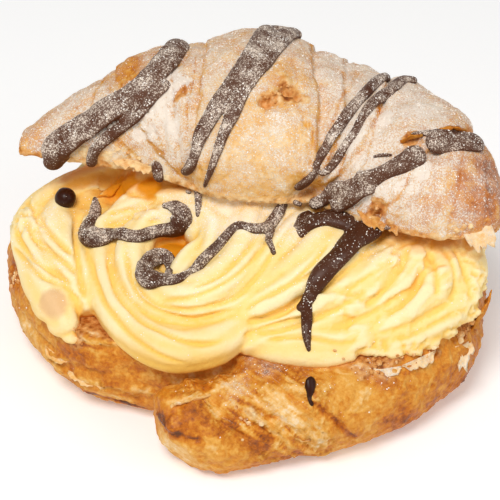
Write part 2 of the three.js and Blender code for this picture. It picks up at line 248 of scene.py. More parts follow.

# Lines that baked darker, or paler where a flake's edge is thin, thin darker lines of painted shade
# just under the raised edges of laps, and a paler strip of painted light under the custard's front:
# the line, the shift, the half width.
BASE_TINTS = [
    (TIP_EDGE, 0.4, 0.8),
    ([(-21, -56, 12.5), (-18.5, -57.5, 8), (-15.5, -56, 4)], -0.3, 2.4),
    ([(-48, -27, 25), (-45, -28.5, 26.5), (-42, -29, 26.5), (-38.5, -31, 26.5)], -0.3, 0.8),
    ([(-47.5, -28, 22.5), (-44, -31, 25.5), (-40, -33, 26), (-36.5, -33, 24.5)], -0.32, 0.9),
    ([(-48, -28, 21.5), (-44.5, -30.8, 23.6), (-40, -33, 24)], 0.3, 0.5),
    ([(-49, -28, 20.5), (-45, -30.5, 22), (-40.5, -33, 22.5), (-36, -34, 21.5)], -0.2, 0.7),
    ([(-44, -32, 7.5), (-39, -33, 6.5), (-33.5, -33, 4), (-27, -34.5, 3)], 0.4, 1.0),
    # Painted light: a paler strip under the custard's overhanging front, lifting its shadow.
    ([(-21, -39, 16.5), (-18, -40.5, 18.5), (-14, -43, 20)], -0.35, 0.9),
    ([(-32, -36, 12.5), (-28.5, -37, 11.5), (-25.5, -37.5, 12.5)], -0.35, 1.1),
    # Along the horn's laps: paler strips on the raised edges, and beside them thin darker lines of painted
    # shade.
    ([(-9, -51.5, 22), (-2, -54, 22.5), (6, -55.5, 19), (13.5, -56, 12), (19, -54, 6.5)], -0.4, 0.5),
    ([(-5.5, -51.5, 23.4), (2, -54.3, 22.4), (10, -56, 16.5), (17, -55, 9)], 0.3, 0.4),
    ([(-2, -51.5, 24), (5.5, -54.5, 22), (13.5, -56.5, 18), (21.5, -54, 8.5)], -0.4, 0.6),
    ([(0.5, -50.5, 24.8), (8, -53.6, 22.8), (16, -55.6, 17), (23.5, -53, 8.5)], 0.28, 0.4),
    ([(-10.5, -50, 23), (-6, -48.5, 24.5), (-0.5, -45.5, 25.5)], -0.35, 0.7),
    ([(30, -50.5, 7.5), (23.5, -54.5, 17.2), (17, -53.5, 22.8), (14, -53, 24.3),
      (9, -52, 25.2)], 0.26, 1.0),
    ([(24, -53, 8), (20.5, -55.5, 14.5), (15, -54.5, 20), (9, -53, 24), (3.5, -48.5, 25.5)], -0.28, 0.8),
    ([(21.5, -54, 8), (18.5, -56, 14), (12.5, -55.5, 19.5), (7, -53, 23.5), (1.5, -49, 24.5)], -0.24, 0.7),
    (HORN_LAP, -0.30, 0.8),
    ([(12.5, -56, 7.5), (11, -57, 11.5), (5.5, -57.5, 17.5), (0.5, -55, 21.5),
      (-4, -51.5, 23)], -0.34, 0.9),
    ([(-21.5, -52.5, 21.5), (-19, -52.5, 22.5), (-15, -52.5, 23.5), (-10.5, -50, 23)], -0.35, 1.0),
    ([(-11, -49.5, 23), (-9.5, -51.5, 22.5), (-8.8, -54.5, 21), (-7.5, -56.5, 19.5)], -0.3, 1.5),
    ([(-5, -57.5, 19.5), (-0.5, -59, 17.5), (3.5, -59, 15.5), (7, -58, 13)], 0.17, 1.7),
    ([(-23.5, -51, 18), (-22.5, -54.5, 18.2), (-20.8, -57.6, 18.2)], 0.34, 1.7),
    ([(-20, -58, 14.8), (-17.6, -58.6, 11), (-15.6, -57.8, 6)], -0.24, 2.8),
    ([(-56.5, -19, 13), (-53.5, -23, 12.5), (-49, -27.5, 14.5), (-45, -31, 18)], -0.25, 0.9),
    ([(-48.5, -29, 11), (-44.5, -32, 11.5), (-40.5, -33, 12), (-37, -34.5, 12.5),
      (-32.5, -36, 10.5)], -0.30, 0.9),
    ([(-50.5, -26, 21), (-45, -29, 24), (-39.5, -32, 25.5), (-34, -34, 25)], -0.25, 0.8),
    ([(-48, -30, 7), (-44, -31, 6.5), (-39.5, -32, 5), (-34.5, -33, 4.5), (-29.5, -34.5, 4.5)], 0.35, 1.3),
    ([(-46, -30.5, 8.5), (-41, -33, 8), (-36, -34.5, 7.5), (-30, -36, 7)], -0.25, 0.7),
    ([(28, -41.5, 26), (32, -43, 25), (36, -43, 23.5), (40.5, -41.5, 23)], -0.30, 1.0),
    ([(40, -47, 8), (48, -41, 8), (56, -33, 9), (62, -24, 10)], 0.12, 2.5),
]

# Torn crumb, where the crust is gone: place and radius.
BASE_TORN = [
    ((-46, -28.5, 24.5), 4.5), ((0.5, -55.5, 21), 1.8), ((36, -42, 25.8), 5.0),
    ((30, -44, 25.8), 3.5), ((60, -21, 24.5), 5.5), ((64, -13, 25.5), 4.0), ((50.5, -33.5, 24), 2.4),
    ((-65, 0, 23), 3.0),
]


def take(*pieces):
    """Selects these objects and nothing else."""
    bpy.ops.object.select_all(action="DESELECT")
    for piece in pieces:
        piece.select_set(True)
    bpy.context.view_layer.objects.active = pieces[0]


def copy_of_node(node, name):
    """A separate, closed copy of a node of the frame."""
    take(frame["nodes"][node])
    bpy.ops.object.duplicate()
    piece = bpy.context.object
    bpy.ops.object.parent_clear(type="CLEAR_KEEP_TRANSFORM")
    piece.name = piece.data.name = name
    piece.data.materials.clear()
    bpy.ops.object.mode_set(mode="EDIT")
    bpy.ops.mesh.select_all(action="SELECT")
    bpy.ops.mesh.remove_doubles(threshold=0.01 * MM)
    bpy.ops.mesh.normals_make_consistent(inside=False)
    bpy.ops.object.mode_set(mode="OBJECT")
    return piece


def work(piece, kind, **settings):
    """Adds a modifier and applies it."""
    take(piece)
    modifier = piece.modifiers.new(kind.lower(), kind)
    for setting, value in settings.items():
        setattr(modifier, setting, value)
    bpy.ops.object.modifier_apply(modifier=modifier.name)


def knead(piece, grain, smoothing):
    """Joins everything in a piece into one skin of even grain (mm), then rounds it."""
    work(piece, "REMESH", mode="VOXEL", voxel_size=grain * MM)
    work(piece, "SMOOTH", factor=0.5, iterations=smoothing)


def shade_round(piece):
    """Shades a piece as one smooth skin."""
    take(piece)
    bpy.ops.object.shade_smooth()


def skin_of(piece):
    """The places (mm) and the outward directions of a piece's vertices."""
    count = len(piece.data.vertices)
    places = np.empty(count * 3)
    piece.data.vertices.foreach_get("co", places)
    outwards = np.empty(count * 3)
    piece.data.vertex_normals.foreach_get("vector", outwards)
    return places.reshape(-1, 3) / MM, outwards.reshape(-1, 3)


def set_skin(piece, places):
    """Moves a piece's vertices to these places (mm)."""
    piece.data.vertices.foreach_set("co", (places * MM).ravel())
    piece.data.update()


def wobble(places, size, draw, stretch=(1, 1, 1), depth=2):
    """Uneven values, about -1 to 1, in lumps of this size (mm). Each draw is another pattern."""
    shift = Vector((17.3 * draw, 5.1 * draw, 9.7 * draw))
    scaled = (places / (size * np.array(stretch))).tolist()
    return np.array([noise.fractal(Vector(p) + shift, 1.0, 2.0, depth) for p in scaled])


def ramp(values, low, high):
    """0 below low, 1 above high, and a soft rise between."""
    t = np.clip((values - low) / (high - low), 0, 1)
    return t * t * (3 - 2 * t)


def follow(line, places):
    """For each place: the nearest point of a line, the line's direction there, the distance to it,
    and how far along the line it is (0 to 1)."""
    line = np.array(line, float)
    starts, steps = line[:-1], np.diff(line, axis=0)
    lengths = np.linalg.norm(steps, axis=1)
    passed = np.concatenate([[0], np.cumsum(lengths)])
    least = np.full(len(places), 1e9)
    near, heading, along = np.zeros_like(places), np.zeros_like(places), np.zeros(len(places))
    for start, step, length, before in zip(starts, steps, lengths, passed):
        t = np.clip((places - start) @ step / length ** 2, 0, 1)
        point = start + t[:, None] * step
        distance = np.linalg.norm(places - point, axis=1)
        closer = distance < least
        least[closer] = distance[closer]
        near[closer] = point[closer]
        heading[closer] = step / length
        along[closer] = (before + t[closer] * length) / passed[-1]
    return near, heading, least, along


def along_line(line, count=None, step=2.0):
    """Places spread evenly along a line: this many of them, or about one for each step (mm)."""
    line = np.array(line, float)
    passed = np.concatenate([[0], np.cumsum(np.linalg.norm(np.diff(line, axis=0), axis=1))])
    stops = np.linspace(0, passed[-1], count or max(3, round(passed[-1] / step)))
    return np.stack([np.interp(stops, passed, line[:, axis]) for axis in range(3)], axis=1)


def laid(line, places):
    """A line in short steps, each point moved on to the skin nearest to it."""
    points = along_line(line)
    points = np.array([places[((places - point) ** 2).sum(axis=1).argmin()] for point in points])
    for _ in range(2):
        points[1:-1] = (points[:-2] + 2 * points[1:-1] + points[2:]) / 4
    return points


def fading(along, share):
    """1 along a line, with a soft fall to 0 over this share of it at each end."""
    return ramp(along, 0, share) * ramp(1 - along, 0, share)


def lap_rise(places, outwards, line, rise, width, edge=0.9):
    """The height of a lap of dough that stands up to the right of a line and sinks away from it."""
    near, heading, distance, along = follow(laid(line, places), places)
    to_right = np.cross(heading, outwards)
    to_right /= np.linalg.norm(to_right, axis=1)[:, None] + 1e-9
    across = ((places - near) * to_right).sum(axis=1)
    beside = 1 - ramp(np.sqrt(np.maximum(distance ** 2 - across ** 2, 0)), 1.5, 4)
    lifted = ramp(across, -edge / 2, edge / 2) * np.clip(1 - across / width, 0, 1)
    undercut = 0.35 * np.exp(-((across + edge) / edge) ** 2)
    return rise * fading(along, 0.12) * beside * (lifted - undercut)


def furrow(places, line, depth, half_width):
    """The height, below zero, of a furrow along a line."""
    _, _, distance, along = follow(laid(line, places), places)
    return -depth * fading(along, 0.15) * np.exp(-(distance / half_width) ** 2)


def hollow(places, middle, radius, depth):
    """The height, below zero, of a round hollow."""
    distance = np.linalg.norm(places - np.array(middle), axis=1)
    return -depth * (1 - ramp(distance, 0.35 * radius, radius))


def near_spots(places, spots, blur=0.0):
    """How near each place is to a list of spots (middle, radius): 1 inside one, 0 outside them all."""
    found = np.zeros(len(places))
    for middle, radius in spots:
        distance = np.linalg.norm(places - np.array(middle), axis=1) + blur
        found = np.maximum(found, 1 - ramp(distance, 0.6 * radius, radius))
    return found


def blend_of(places, spots):
    """Values given at spots (x, y, z, values), blended softly over the places between them."""
    spots = np.array(spots, float)
    total = np.zeros((len(places), spots.shape[1] - 3))
    weights = np.zeros(len(places))
    for spot in spots:
        weight = 1 / (((places - spot[:3]) ** 2).sum(axis=1) + 4) ** 2.2
        total += weight[:, None] * spot[3:]
        weights += weight
    return total / weights[:, None]


def shaken(places, draw):
    """The places moved about by a millimetre or two, so that what is laid on them gets uneven edges."""
    return places + 1.6 * np.stack([wobble(places, 5, draw + axis) for axis in range(3)], axis=1)


def mark(piece, name, values, limits=(0, 1)):
    """Keeps a value for each vertex, for the material to read."""
    layer = piece.data.attributes.new(name, "FLOAT", "POINT")
    layer.data.foreach_set("value", np.clip(values, *limits) if limits else values)


def tinted(places, tints):
    """How much the lines shift the browning at each place."""
    shift = np.zeros(len(places))
    uneven = 0.3 * wobble(places, 1.5, 9)
    for line, amount, half_width in tints:
        _, _, distance, along = follow(laid(line, places), places)
        shift += amount * fading(along, 0.1) * np.exp(-((distance + uneven) / half_width) ** 2)
    return shift


crust_base = copy_of_node("croissant_base", "crust_base")
knead(crust_base, BASE_GRAIN, BASE_SMOOTHING)
skin, out = skin_of(crust_base)

# Only the tip of the horn is pressed flat, and not where it stands on the table.
at_tip = ramp(-skin[:, 0], 4, 9) * ramp(-skin[:, 1], 42, 47)
for flat_point, flat_way in HORN_FLATS:
    beyond = np.maximum((skin - np.array(flat_point)) @ np.array(flat_way), 0)
    skin -= HORN_PRESS * (beyond * at_tip * (skin[:, 2] > 0.6))[:, None] * np.array(flat_way)

rise = 0.45 * wobble(skin, 9, 1) + 0.28 * wobble(skin, 3.2, 2)
wandering = skin + 0.5 * wobble(skin, 4, 3)[:, None]
for line, height, width in BASE_LAPS:
    rise += lap_rise(wandering, out, line, height, width)
for line, depth, half_width in BASE_FURROWS:
    rise += furrow(skin, line, depth, half_width)
for middle, radius, depth in BASE_HOLLOWS:
    rise += hollow(skin, middle, radius, depth)

# The layers of the dough run round the sides, and slantwise over the horn: how far along them and how
# far across them each place lies (mm).
near, heading, distance, _ = follow(laid(HORN_LAP, skin), skin)
slant = np.sign(((skin - near) * np.cross(heading, out)).sum(axis=1)) * distance
on_horn = (1 - ramp(distance, 9, 17)) * ramp(skin[:, 1], -38, -44) * (1 - ramp(skin[:, 0], 16, 28))
cross = skin[:, 2] * (1 - on_horn) + slant * on_horn
run = SIDE_RADIUS * np.arctan2(skin[:, 1], skin[:, 0]) * (1 - on_horn) + skin[:, 2] * 1.6 * on_horn
flow = np.stack([run, cross, 0 * run], axis=1)
layers = wobble(flow, 1.5, 4, (6, 1, 1), 3)
wall = 1 - ramp(np.abs(out[:, 2]), 0.55, 0.9)
streaks = np.maximum(0.12 * wall, on_horn)
rise += 0.5 * (ramp(layers, -0.08, 0.12) - 0.5) * streaks
rise += 0.34 * ramp(wobble(skin, 2.6, 10), 0.0, 0.22) + 0.16 * wobble(skin, 1.3, 40)
web_line, web_width, web_depth = HORN_WEB
from_web = follow(laid(web_line, skin), skin)[2] + 1.2 * wobble(skin, 3, 26)
web = 1 - ramp(from_web, 0.6 * web_width, web_width)
web_holes = web * ramp(wobble(flow, 1.6, 27, (3, 1, 1), 3), 0.0, 0.14)
rise -= web_depth * web_holes

# Nothing sinks into the table, and the flat cut on top stays nearly flat.
above_table = ramp(skin[:, 2], 0.5, 3)
below_cut = 1 - ramp(out[:, 2], 0.9, 0.99) * ramp(skin[:, 2], 24.5, 25.5)
skin = skin + (rise * above_table * (0.35 + 0.65 * below_cut))[:, None] * out
skin[:, 2] = np.maximum(skin[:, 2], 0)
set_skin(crust_base, skin)

moved = shaken(skin, 5)
base_bake, base_sugar = blend_of(moved, BASE_BAKE).T
base_bake = base_bake + tinted(skin, BASE_TINTS) - 0.3 * (ramp(layers, 0.1, 0.3) - 0.5) * streaks
base_bake += 0.04 * web_holes - 0.12 * web * (1 - web_holes)
base_bake = np.maximum(base_bake, PALEST + 0.15 * (base_bake - PALEST))
base_torn = near_spots(moved, BASE_TORN, 0.8 * wobble(skin, 2.4, 8))
# The flat cut shows the crumb, apart from the horn in front, which keeps its crust.
on_cut = ramp(out[:, 2], 0.9, 0.98) * ramp(skin[:, 2], 24, 25) * ramp(skin[:, 1], -46, -38)
mark(crust_base, "bake", base_bake + BASE_DARKER)
mark(crust_base, "torn", np.maximum(base_torn, on_cut))
mark(crust_base, "sugar", BASE_SUGAR * base_sugar)
mark(crust_base, "run", run, None)
mark(crust_base, "cross", cross, None)
mark(crust_base, "streaks", 0.14 + 0.5 * streaks)


def srgb(red, green, blue):
    """A colour as it looks on a screen (0 to 255), as light."""
    parts = []
    for part in (red, green, blue):
        part /= 255
        parts.append(part / 12.92 if part <= 0.04045 else ((part + 0.055) / 1.055) ** 2.4)
    return (*parts, 1)


# The colours that dough takes as it browns, by how far it has baked, and those of its crumb, from the
# bottom of a hole to the top.
BAKE_COLOURS = [
    (0.00, (248, 224, 188)), (0.20, (241, 197, 130)), (0.40, (230, 168, 74)), (0.58, (214, 136, 38)),
    (0.74, (192, 106, 20)), (0.88, (156, 80, 20)), (1.00, (108, 62, 34)),
]
CRUMB_COLOURS = [(0.0, (112, 54, 14)), (0.3, (176, 100, 38)), (0.6, (222, 158, 88)), (1.0, (250, 222, 172))]
THIN_CRUST = (246, 212, 168)
DUST_ON_CRUST = (246, 235, 222)
# What each piece of crust keeps for its vertices: how far it has baked, where it is torn, its sugar,
# the place along and across its layers (mm), and how strongly the layers show.
CRUST_MARKS = ("bake", "torn", "sugar", "run", "cross", "streaks")


class Wires:
    """Places nodes in a material or a group and joins them up."""

    def __init__(self, tree):
        self.tree = tree
        self.column = 0

    def join(self, node, inputs):
        """Joins a wire to each of these inputs of a node, or sets it."""
        for socket, value in inputs.items():
            if isinstance(value, bpy.types.NodeSocket):
                self.tree.links.new(value, node.inputs[socket])
            else:
                node.inputs[socket].default_value = value

    def node(self, kind, inputs=None, **settings):
        made = self.tree.nodes.new(kind)
        self.column += 1
        made.location = (self.column % 12 * 190, -(self.column // 12) * 260)
        for setting, value in settings.items():
            setattr(made, setting, value)
        self.join(made, inputs or {})
        return made

    def maths(self, operation, *values, clamp=False):
        inputs = dict(enumerate(values))
        return self.node("ShaderNodeMath", inputs, operation=operation, use_clamp=clamp).outputs[0]

    def plus(self, first, second, clamp=False):
        return self.maths("ADD", first, second, clamp=clamp)

    def minus(self, first, second):
        return self.maths("SUBTRACT", first, second)

    def times(self, first, second, clamp=False):
        return self.maths("MULTIPLY", first, second, clamp=clamp)

    def swing(self, pattern, size):
        """A pattern (0 to 1) as a shift to both sides of zero."""
        return self.times(self.minus(pattern, 0.5), size)

    def between(self, value, low, high):
        """0 at low, 1 at high, and a soft rise between."""
        made = self.node("ShaderNodeMapRange", {"Value": value, "From Min": low, "From Max": high})
        made.interpolation_type = "SMOOTHSTEP"
        return made.outputs[0]

    def mix(self, share, first, second):
        return self.node("ShaderNodeMix", {0: share, 6: first, 7: second}, data_type="RGBA").outputs[2]

    def colours(self, share, stops):
        made = self.node("ShaderNodeValToRGB", {0: share})
        elements = made.color_ramp.elements
        while len(elements) < len(stops):
            elements.new(0.5)
        for element, (place, colour) in zip(elements, stops):
            element.position = place
            element.color = srgb(*colour)
        return made.outputs[0]

    def noise(self, where, per_metre, detail=2.0, roughness=0.5):
        return self.node("ShaderNodeTexNoise", {"Vector": where, "Scale": per_metre, "Detail": detail,
                                                "Roughness": roughness}).outputs["Fac"]

    def marked(self, name):
        """What the piece keeps for its vertices under this name."""
        return self.node("ShaderNodeAttribute", attribute_name=name).outputs["Fac"]

    def upward(self):
        """How far the skin faces up: 1 up, 0 sideways, -1 down."""
        normal = self.node("ShaderNodeNewGeometry").outputs["Normal"]
        return self.node("ShaderNodeSeparateXYZ", {0: normal}).outputs["Z"]

    def dust(self, where, amount):
        return self.node("ShaderNodeGroup", {"Vector": where, "Amount": amount}, node_tree=sugar_dust)

    def bump(self, height, strength, distance):
        """Relief too fine for the mesh, up to this distance (m) high."""
        return self.node("ShaderNodeBump", {"Height": height, "Strength": strength,
                                            "Distance": distance}).outputs[0]


# Fine sugar sieved over the top, in specks and soft patches: how much of the skin it covers, where it
# lies in grains, and how high.
sugar_dust = bpy.data.node_groups.new("sugar_dust", "ShaderNodeTree")
for socket, kind in (("Vector", "NodeSocketVector"), ("Amount", "NodeSocketFloat")):
    sugar_dust.interface.new_socket(name=socket, in_out="INPUT", socket_type=kind)
for socket in ("Cover", "Grains", "Height"):
    sugar_dust.interface.new_socket(name=socket, in_out="OUTPUT", socket_type="NodeSocketFloat")
w = Wires(sugar_dust)
dust_in = w.node("NodeGroupInput")
dust_out = w.node("NodeGroupOutput")
where, sieved = dust_in.outputs["Vector"], dust_in.outputs["Amount"]
cloud = w.noise(where, 170, 3, 0.6)
specks = w.noise(where, 2100, 2, 0.7)
grains = w.noise(where, 3600, 1, 0.5)
heap = w.plus(w.swing(cloud, 0.9), sieved)
scatter = w.plus(w.times(specks, 0.6), w.times(grains, 0.4))
reach = w.plus(heap, w.swing(scatter, 3.4))
lumps = w.between(reach, 0.5, 0.85)
haze = w.times(w.between(heap, 0.1, 1.0), 0.5)
cover = w.minus(w.plus(lumps, haze), w.times(lumps, haze))
present = w.between(sieved, 0.0, 0.12)
cover = w.times(cover, present)
w.join(dust_out, {"Cover": cover, "Grains": w.times(lumps, present), "Height": w.times(cover, scatter)})


def new_finish(name):
    """A new material, its shader, wires to join its nodes up, and the place on the piece."""
    material = bpy.data.materials.new(name)
    material.use_nodes = True
    w = Wires(material.node_tree)
    where = w.node("ShaderNodeTexCoord").outputs["Object"]
    return material, material.node_tree.nodes["Principled BSDF"], w, where


def crust_material(name, sheen):
    """Baked laminated dough. The sheen is how glossy its brown parts are."""
    material, shader, w, where = new_finish(name)
    bake, torn, sugar, run, cross, streaks = (w.marked(kept) for kept in CRUST_MARKS)
    grain = w.node("ShaderNodeCombineXYZ", {0: w.times(run, 0.17), 1: cross}).outputs[0]

    blotches = w.noise(where, 150, 3, 0.6)
    mottle = w.noise(where, 700, 4, 0.7)
    flakes = w.noise(grain, 0.9, 4, 0.65)
    threads = w.noise(grain, 2.6, 3, 0.6)
    patches = w.between(w.noise(where, 260, 2, 0.5), 0.52, 0.62)
    change = w.plus(w.swing(blotches, 0.5), w.swing(mottle, 0.74))
    threaded = w.plus(w.swing(flakes, 0.6), w.swing(threads, 0.35))
    change = w.plus(change, w.times(threaded, streaks))
    change = w.minus(change, w.times(patches, 0.14))
    baked = w.plus(bake, change, clamp=True)
    crust = w.colours(baked, BAKE_COLOURS)
    thin_edges = w.times(w.between(threads, 0.6, 0.68), w.between(blotches, 0.46, 0.6))
    crust = w.mix(w.times(thin_edges, w.times(streaks, 0.6)), crust, srgb(*THIN_CRUST))

    cells = w.node("ShaderNodeTexVoronoi", {"Vector": where, "Scale": 620}, feature="SMOOTH_F1")
    pores = w.noise(where, 900, 3, 0.6)
    open_cells = w.plus(w.times(cells.outputs["Distance"], 0.7), w.times(pores, 0.7))
    crumb = w.colours(w.plus(open_cells, w.times(w.minus(0.5, bake), 0.9)), CRUMB_COLOURS)
    dough = w.mix(torn, crust, crumb)

    lying = w.between(w.upward(), -0.75, 0.2)
    dust = w.dust(where, w.times(sugar, lying))
    sugared = w.mix(w.times(dust.outputs["Cover"], 0.9), dough, srgb(*DUST_ON_CRUST))
    gloss = w.times(w.times(baked, w.minus(1.0, dust.outputs["Cover"])), -sheen)

    relief = w.plus(w.times(flakes, 0.8), w.times(threads, 0.4))
    relief = w.plus(w.times(relief, streaks), w.times(mottle, 0.5))
    relief = w.plus(relief, w.times(patches, 0.16))
    relief = w.plus(relief, w.times(w.times(open_cells, torn), 1.1))
    relief = w.plus(relief, w.times(dust.outputs["Height"], 0.5))
    w.join(shader, {"Base Color": sugared, "Roughness": w.plus(gloss, 0.78), "Specular IOR Level": 0.24,
                    "Normal": w.bump(relief, 0.6, 0.001)})
    return material


crust_base.data.materials.append(crust_material("base_crust", 0.5))
shade_round(crust_base)
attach(crust_base, "root")
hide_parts("croissant_base")

# ---------------------------------------------------------------- custard
# Cold set custard, piped with a star nozzle on to the base. A large rosette winds up in front on
# the left, a smaller one hangs over the left end, and straight ropes run down to the right, where
# they were smeared as the lid went on. Ropes round the back hold up the lid.

CUSTARD_GRAIN = 0.68
CUSTARD_SMOOTHING = 1
STAR_CORNERS = 84
# The nozzle's mouth, fresh or smeared smooth afterwards: how many ridges, and how deep.
MOUTHS = {"fresh": (6, 0.27), "settled": (6, 0.11), "soft": (5, 0.15), "smeared": (4, 0.07)}

# Each rope: its mouth, its points (x, y, z, radius), its twist at the start and along each
# millimetre (degrees).
ROPES = {
    "outer_round": ("settled", [
        (-3, -34, 31, 5), (-8.5, -38, 30, 6), (-14, -39, 29, 6.2), (-18.5, -39.5, 29, 6.3),
        (-23.5, -37.5, 29, 6.3), (-28.5, -33, 29, 6.3), (-33.5, -26.5, 29.5, 6.3), (-37, -18.5, 30, 6.3),
        (-39, -10.5, 31, 6.3), (-40, -3.5, 32.5, 6.3), (-40, 1.5, 34.5, 6.2), (-37.5, 5.5, 37, 6),
        (-33, 8, 40, 6), (-25.5, 9, 42.5, 6), (-17.5, 8.5, 44, 6), (-8.5, 7, 45, 6)], 20, 0),
    "middle_round": ("settled", [
        (19.5, 1.5, 43, 5.5), (14, -6, 43, 5.5), (9, -14, 41.5, 5.2), (2.5, -22, 38, 5.2),
        (-4, -28, 35, 5.2), (-11.5, -30, 33.5, 5.2), (-18, -29.5, 33, 5.2), (-23.5, -27.5, 33.5, 5.2),
        (-28, -21.5, 34, 5.4), (-30.5, -14.5, 35, 5.6), (-31, -8.5, 37, 5.6), (-28.5, -2.5, 39.5, 5.4),
        (-22.5, 0.5, 42, 5.2), (-15, 0.5, 43.5, 5), (-10, -3, 43.5, 4.8), (-9, -9, 42, 4.6),
        (-11, -14.5, 39.5, 4.2), (-15, -15.5, 37, 3.4), (-18.5, -12, 35.5, 2.4)], 40, 0),
    "inner_round": ("settled", [
        (4, 4, 44, 6), (1, -3, 43.5, 6.4), (-0.5, -10.5, 42, 6.6), (-2.5, -17.5, 40.5, 6.6),
        (-6.5, -23.5, 39, 6.6), (-12, -27.5, 38, 6.2), (-18, -27, 36.5, 5.6), (-22.5, -23.5, 35.5, 4.8),
        (-25.5, -17.5, 34.5, 3.5)], 10, 1.0),
    "eye_fold": ("soft", [
        (-12, -11, 40.5, 3.6), (-15.5, -14, 40, 3.4), (-18, -17.5, 39, 3), (-20, -20.5, 37.5, 2.2)], 0, 0),
    "back_round": ("soft", [
        (-45, 6, 36, 5), (-42, 12, 40, 5.6), (-34, 14.5, 43, 5.6), (-24, 15, 45, 5.6),
        (-12, 13, 47, 5.6)], 0, 0),
    "cap_round": ("soft", [
        (-22, 5, 44.5, 4.6), (-13, 3, 46, 5), (-3, 1.5, 46.5, 5.4), (8, 0.5, 46.5, 5.4),
        (19, 2, 46, 5.4)], 0, 0),
    "rope_b": ("soft", [
        (28, 2, 43, 7), (24, -8.5, 43, 7.5), (18.5, -18, 41, 7.6), (10.5, -24.5, 37, 7.6),
        (3, -28.5, 33.5, 7), (-1.5, -30, 32, 5.5)], 0, 0.4),
    "rope_c": ("fresh", [
        (34, -5.5, 42, 6.6), (30, -15, 41.5, 6.6), (25.5, -21.5, 39.5, 6.6), (19.5, -26, 36.5, 6.4),
        (14, -29, 33.5, 5.8), (8, -30.5, 31.5, 5.4), (2.5, -32.5, 30, 5), (-2, -34.5, 29, 4)], 15, 0.5),
    "rope_d": ("soft", [
        (41.5, -8, 41, 6.5), (37, -16, 40, 6.6), (31.5, -23, 37.5, 6.6), (25, -27, 34, 6.4),
        (18.5, -30.5, 31.5, 5.6), (11.5, -32.5, 30, 4.8), (5.5, -35, 29, 4.2), (0, -37, 28.5, 3)], 30, 0.6),
    "lobe_front": ("smeared", [
        (36, -30, 30, 3), (33.5, -31.5, 29.5, 3.6), (29, -35, 29, 4.2), (24, -36, 28.5, 4.5),
        (17, -36.5, 28.5, 4.4),
        (10, -36.5, 28.5, 3.8), (3.5, -37.5, 28, 2.6)], 0, 0),
    "lobe_under": ("smeared", [
        (26.5, -39.5, 27, 2.2), (20.5, -40.5, 27, 3.2), (13.5, -40, 27, 3.3), (7, -39, 27, 2.8),
        (1.5, -37.5, 27, 2)], 0, 0),
    "rope_f": ("soft", [
        (47, -8, 41, 6.6), (44, -15.5, 39.5, 6.8), (40, -22, 36.5, 6.8), (34, -26, 33.5, 6.2),
        (28, -29, 31, 5.4), (22, -31.5, 30, 4.4)], 0, 1.2),
    "rope_g": ("smeared", [
        (53, -9, 40.5, 6.6), (52, -16.5, 38, 6.8), (48.5, -23, 34.5, 6.6), (42, -28, 31.5, 6),
        (36, -31.5, 29.5, 5), (31, -33.5, 28.5, 3.6)], 20, 1.2),
    "rope_h": ("smeared", [
        (58, -8, 38.5, 6), (58.5, -15.5, 35, 6.4), (55.5, -22, 31.5, 6), (50, -27.5, 29.5, 5.4),
        (44, -32, 28, 4.4), (38.5, -35.5, 27, 3.2)], 0, 1.0),
    "right_flap": ("smeared", [
        (50, -28, 29, 2.6), (55.5, -26.5, 29, 2.4), (58.5, -25.5, 29, 2.0), (61.5, -24, 29.4, 1.4)], 0, 0),
    "left_outer": ("settled", [
        (-49, -25.5, 26.5, 4), (-52, -20, 28, 6), (-55.5, -12.5, 29, 6.4), (-58, -5, 30, 6.2),
        (-60, 1.5, 31.5, 6.2), (-60.5, 7, 33, 6), (-58.5, 13.5, 34, 6), (-54, 17, 36, 6),
        (-48, 19.5, 38, 6), (-40.5, 21, 40, 6), (-30, 21, 42, 6)], 0, 0.6),
    "left_middle": ("smeared", [
        (-44, -18.5, 28.5, 5), (-46.5, -13, 30, 6), (-49, -7.5, 31.5, 6.4), (-51.5, -1.5, 33, 6.4),
        (-52.5, 4, 34.5, 6.4), (-51.5, 9.5, 36, 6.2), (-47.5, 13.5, 38, 6), (-41, 15.5, 40, 6)], 30, 0.6),
    "back_low": ("fresh", [
        (-60, 13, 29.5, 4.8), (-57, 21, 28.5, 4.6), (-50, 31, 29, 5), (-41, 40, 31, 6.2),
        (-33, 45.5, 32.5, 7.2), (-17, 50, 32.5, 7.2), (0, 52, 32.5, 7.2), (17, 50.5, 32.5, 7.2),
        (32, 45, 32.5, 7.2),
        (45, 36, 32.5, 7.2), (55, 24, 32.5, 6.8), (60, 10, 33, 6.4), (61, -4, 34, 5.4)], 0, 7),
    "back_high": ("fresh", [
        (-38, 29, 40, 5.4), (-31, 37, 40, 6), (-20, 43, 39.5, 6.2), (-4, 46.5, 39, 6.2),
        (12, 46, 38.5, 6.2), (27, 41, 38, 6.2), (39, 33, 38, 6.2), (48, 22, 38.5, 6),
        (54, 9, 39, 5.6), (57, -3, 39, 5)], 0, -7),
}

# Custard that fills the middle, and what was smeared over the rim: lumps (middle, half sizes).
LUMPS = [
    ((0, 12, 28), (59, 38, 7)), ((-2, 25, 38), (44, 20, 10)), ((20, 12, 40), (34, 18, 9)),
    ((-20, -15, 28), (19, 20, 6)), ((-30, 14, 40), (18, 12, 5.5)), ((5, 8, 45), (26, 12, 5)),
    ((20, -14, 31), (30, 17, 9)), ((40, -8, 32), (22, 15, 8)), ((-34, -12, 29), (8, 16, 6)),
    ((-46, 4, 28), (14, 20, 5)), ((-52.5, -17, 27.5), (6.8, 8.5, 4.8)),
    ((-50, -24.5, 25.5), (4.4, 4.4, 3.6)), ((-47.5, -28, 23.6), (2.6, 2.2, 1.8)),
    ((33, -37, 27), (4, 2.4, 1.8)), ((38.5, -37, 26.6), (3.6, 2.8, 1.6)), ((43, -36, 26.6), (4, 2.6, 1.8)),
    ((47.5, -33, 26.6), (4, 3, 2)), ((52, -29.5, 27), (4, 3, 1.9)), ((-34, 0, 35), (4.5, 8, 5.5)),
    ((8, -4, 42.5), (5, 5, 5)), ((-20.5, -8.5, 33.5), (8, 7, 4.5)), ((-13, -4.5, 40.5), (4.5, 4.5, 5)),
    ((-19, 1, 38), (9, 5, 5.5)),
]


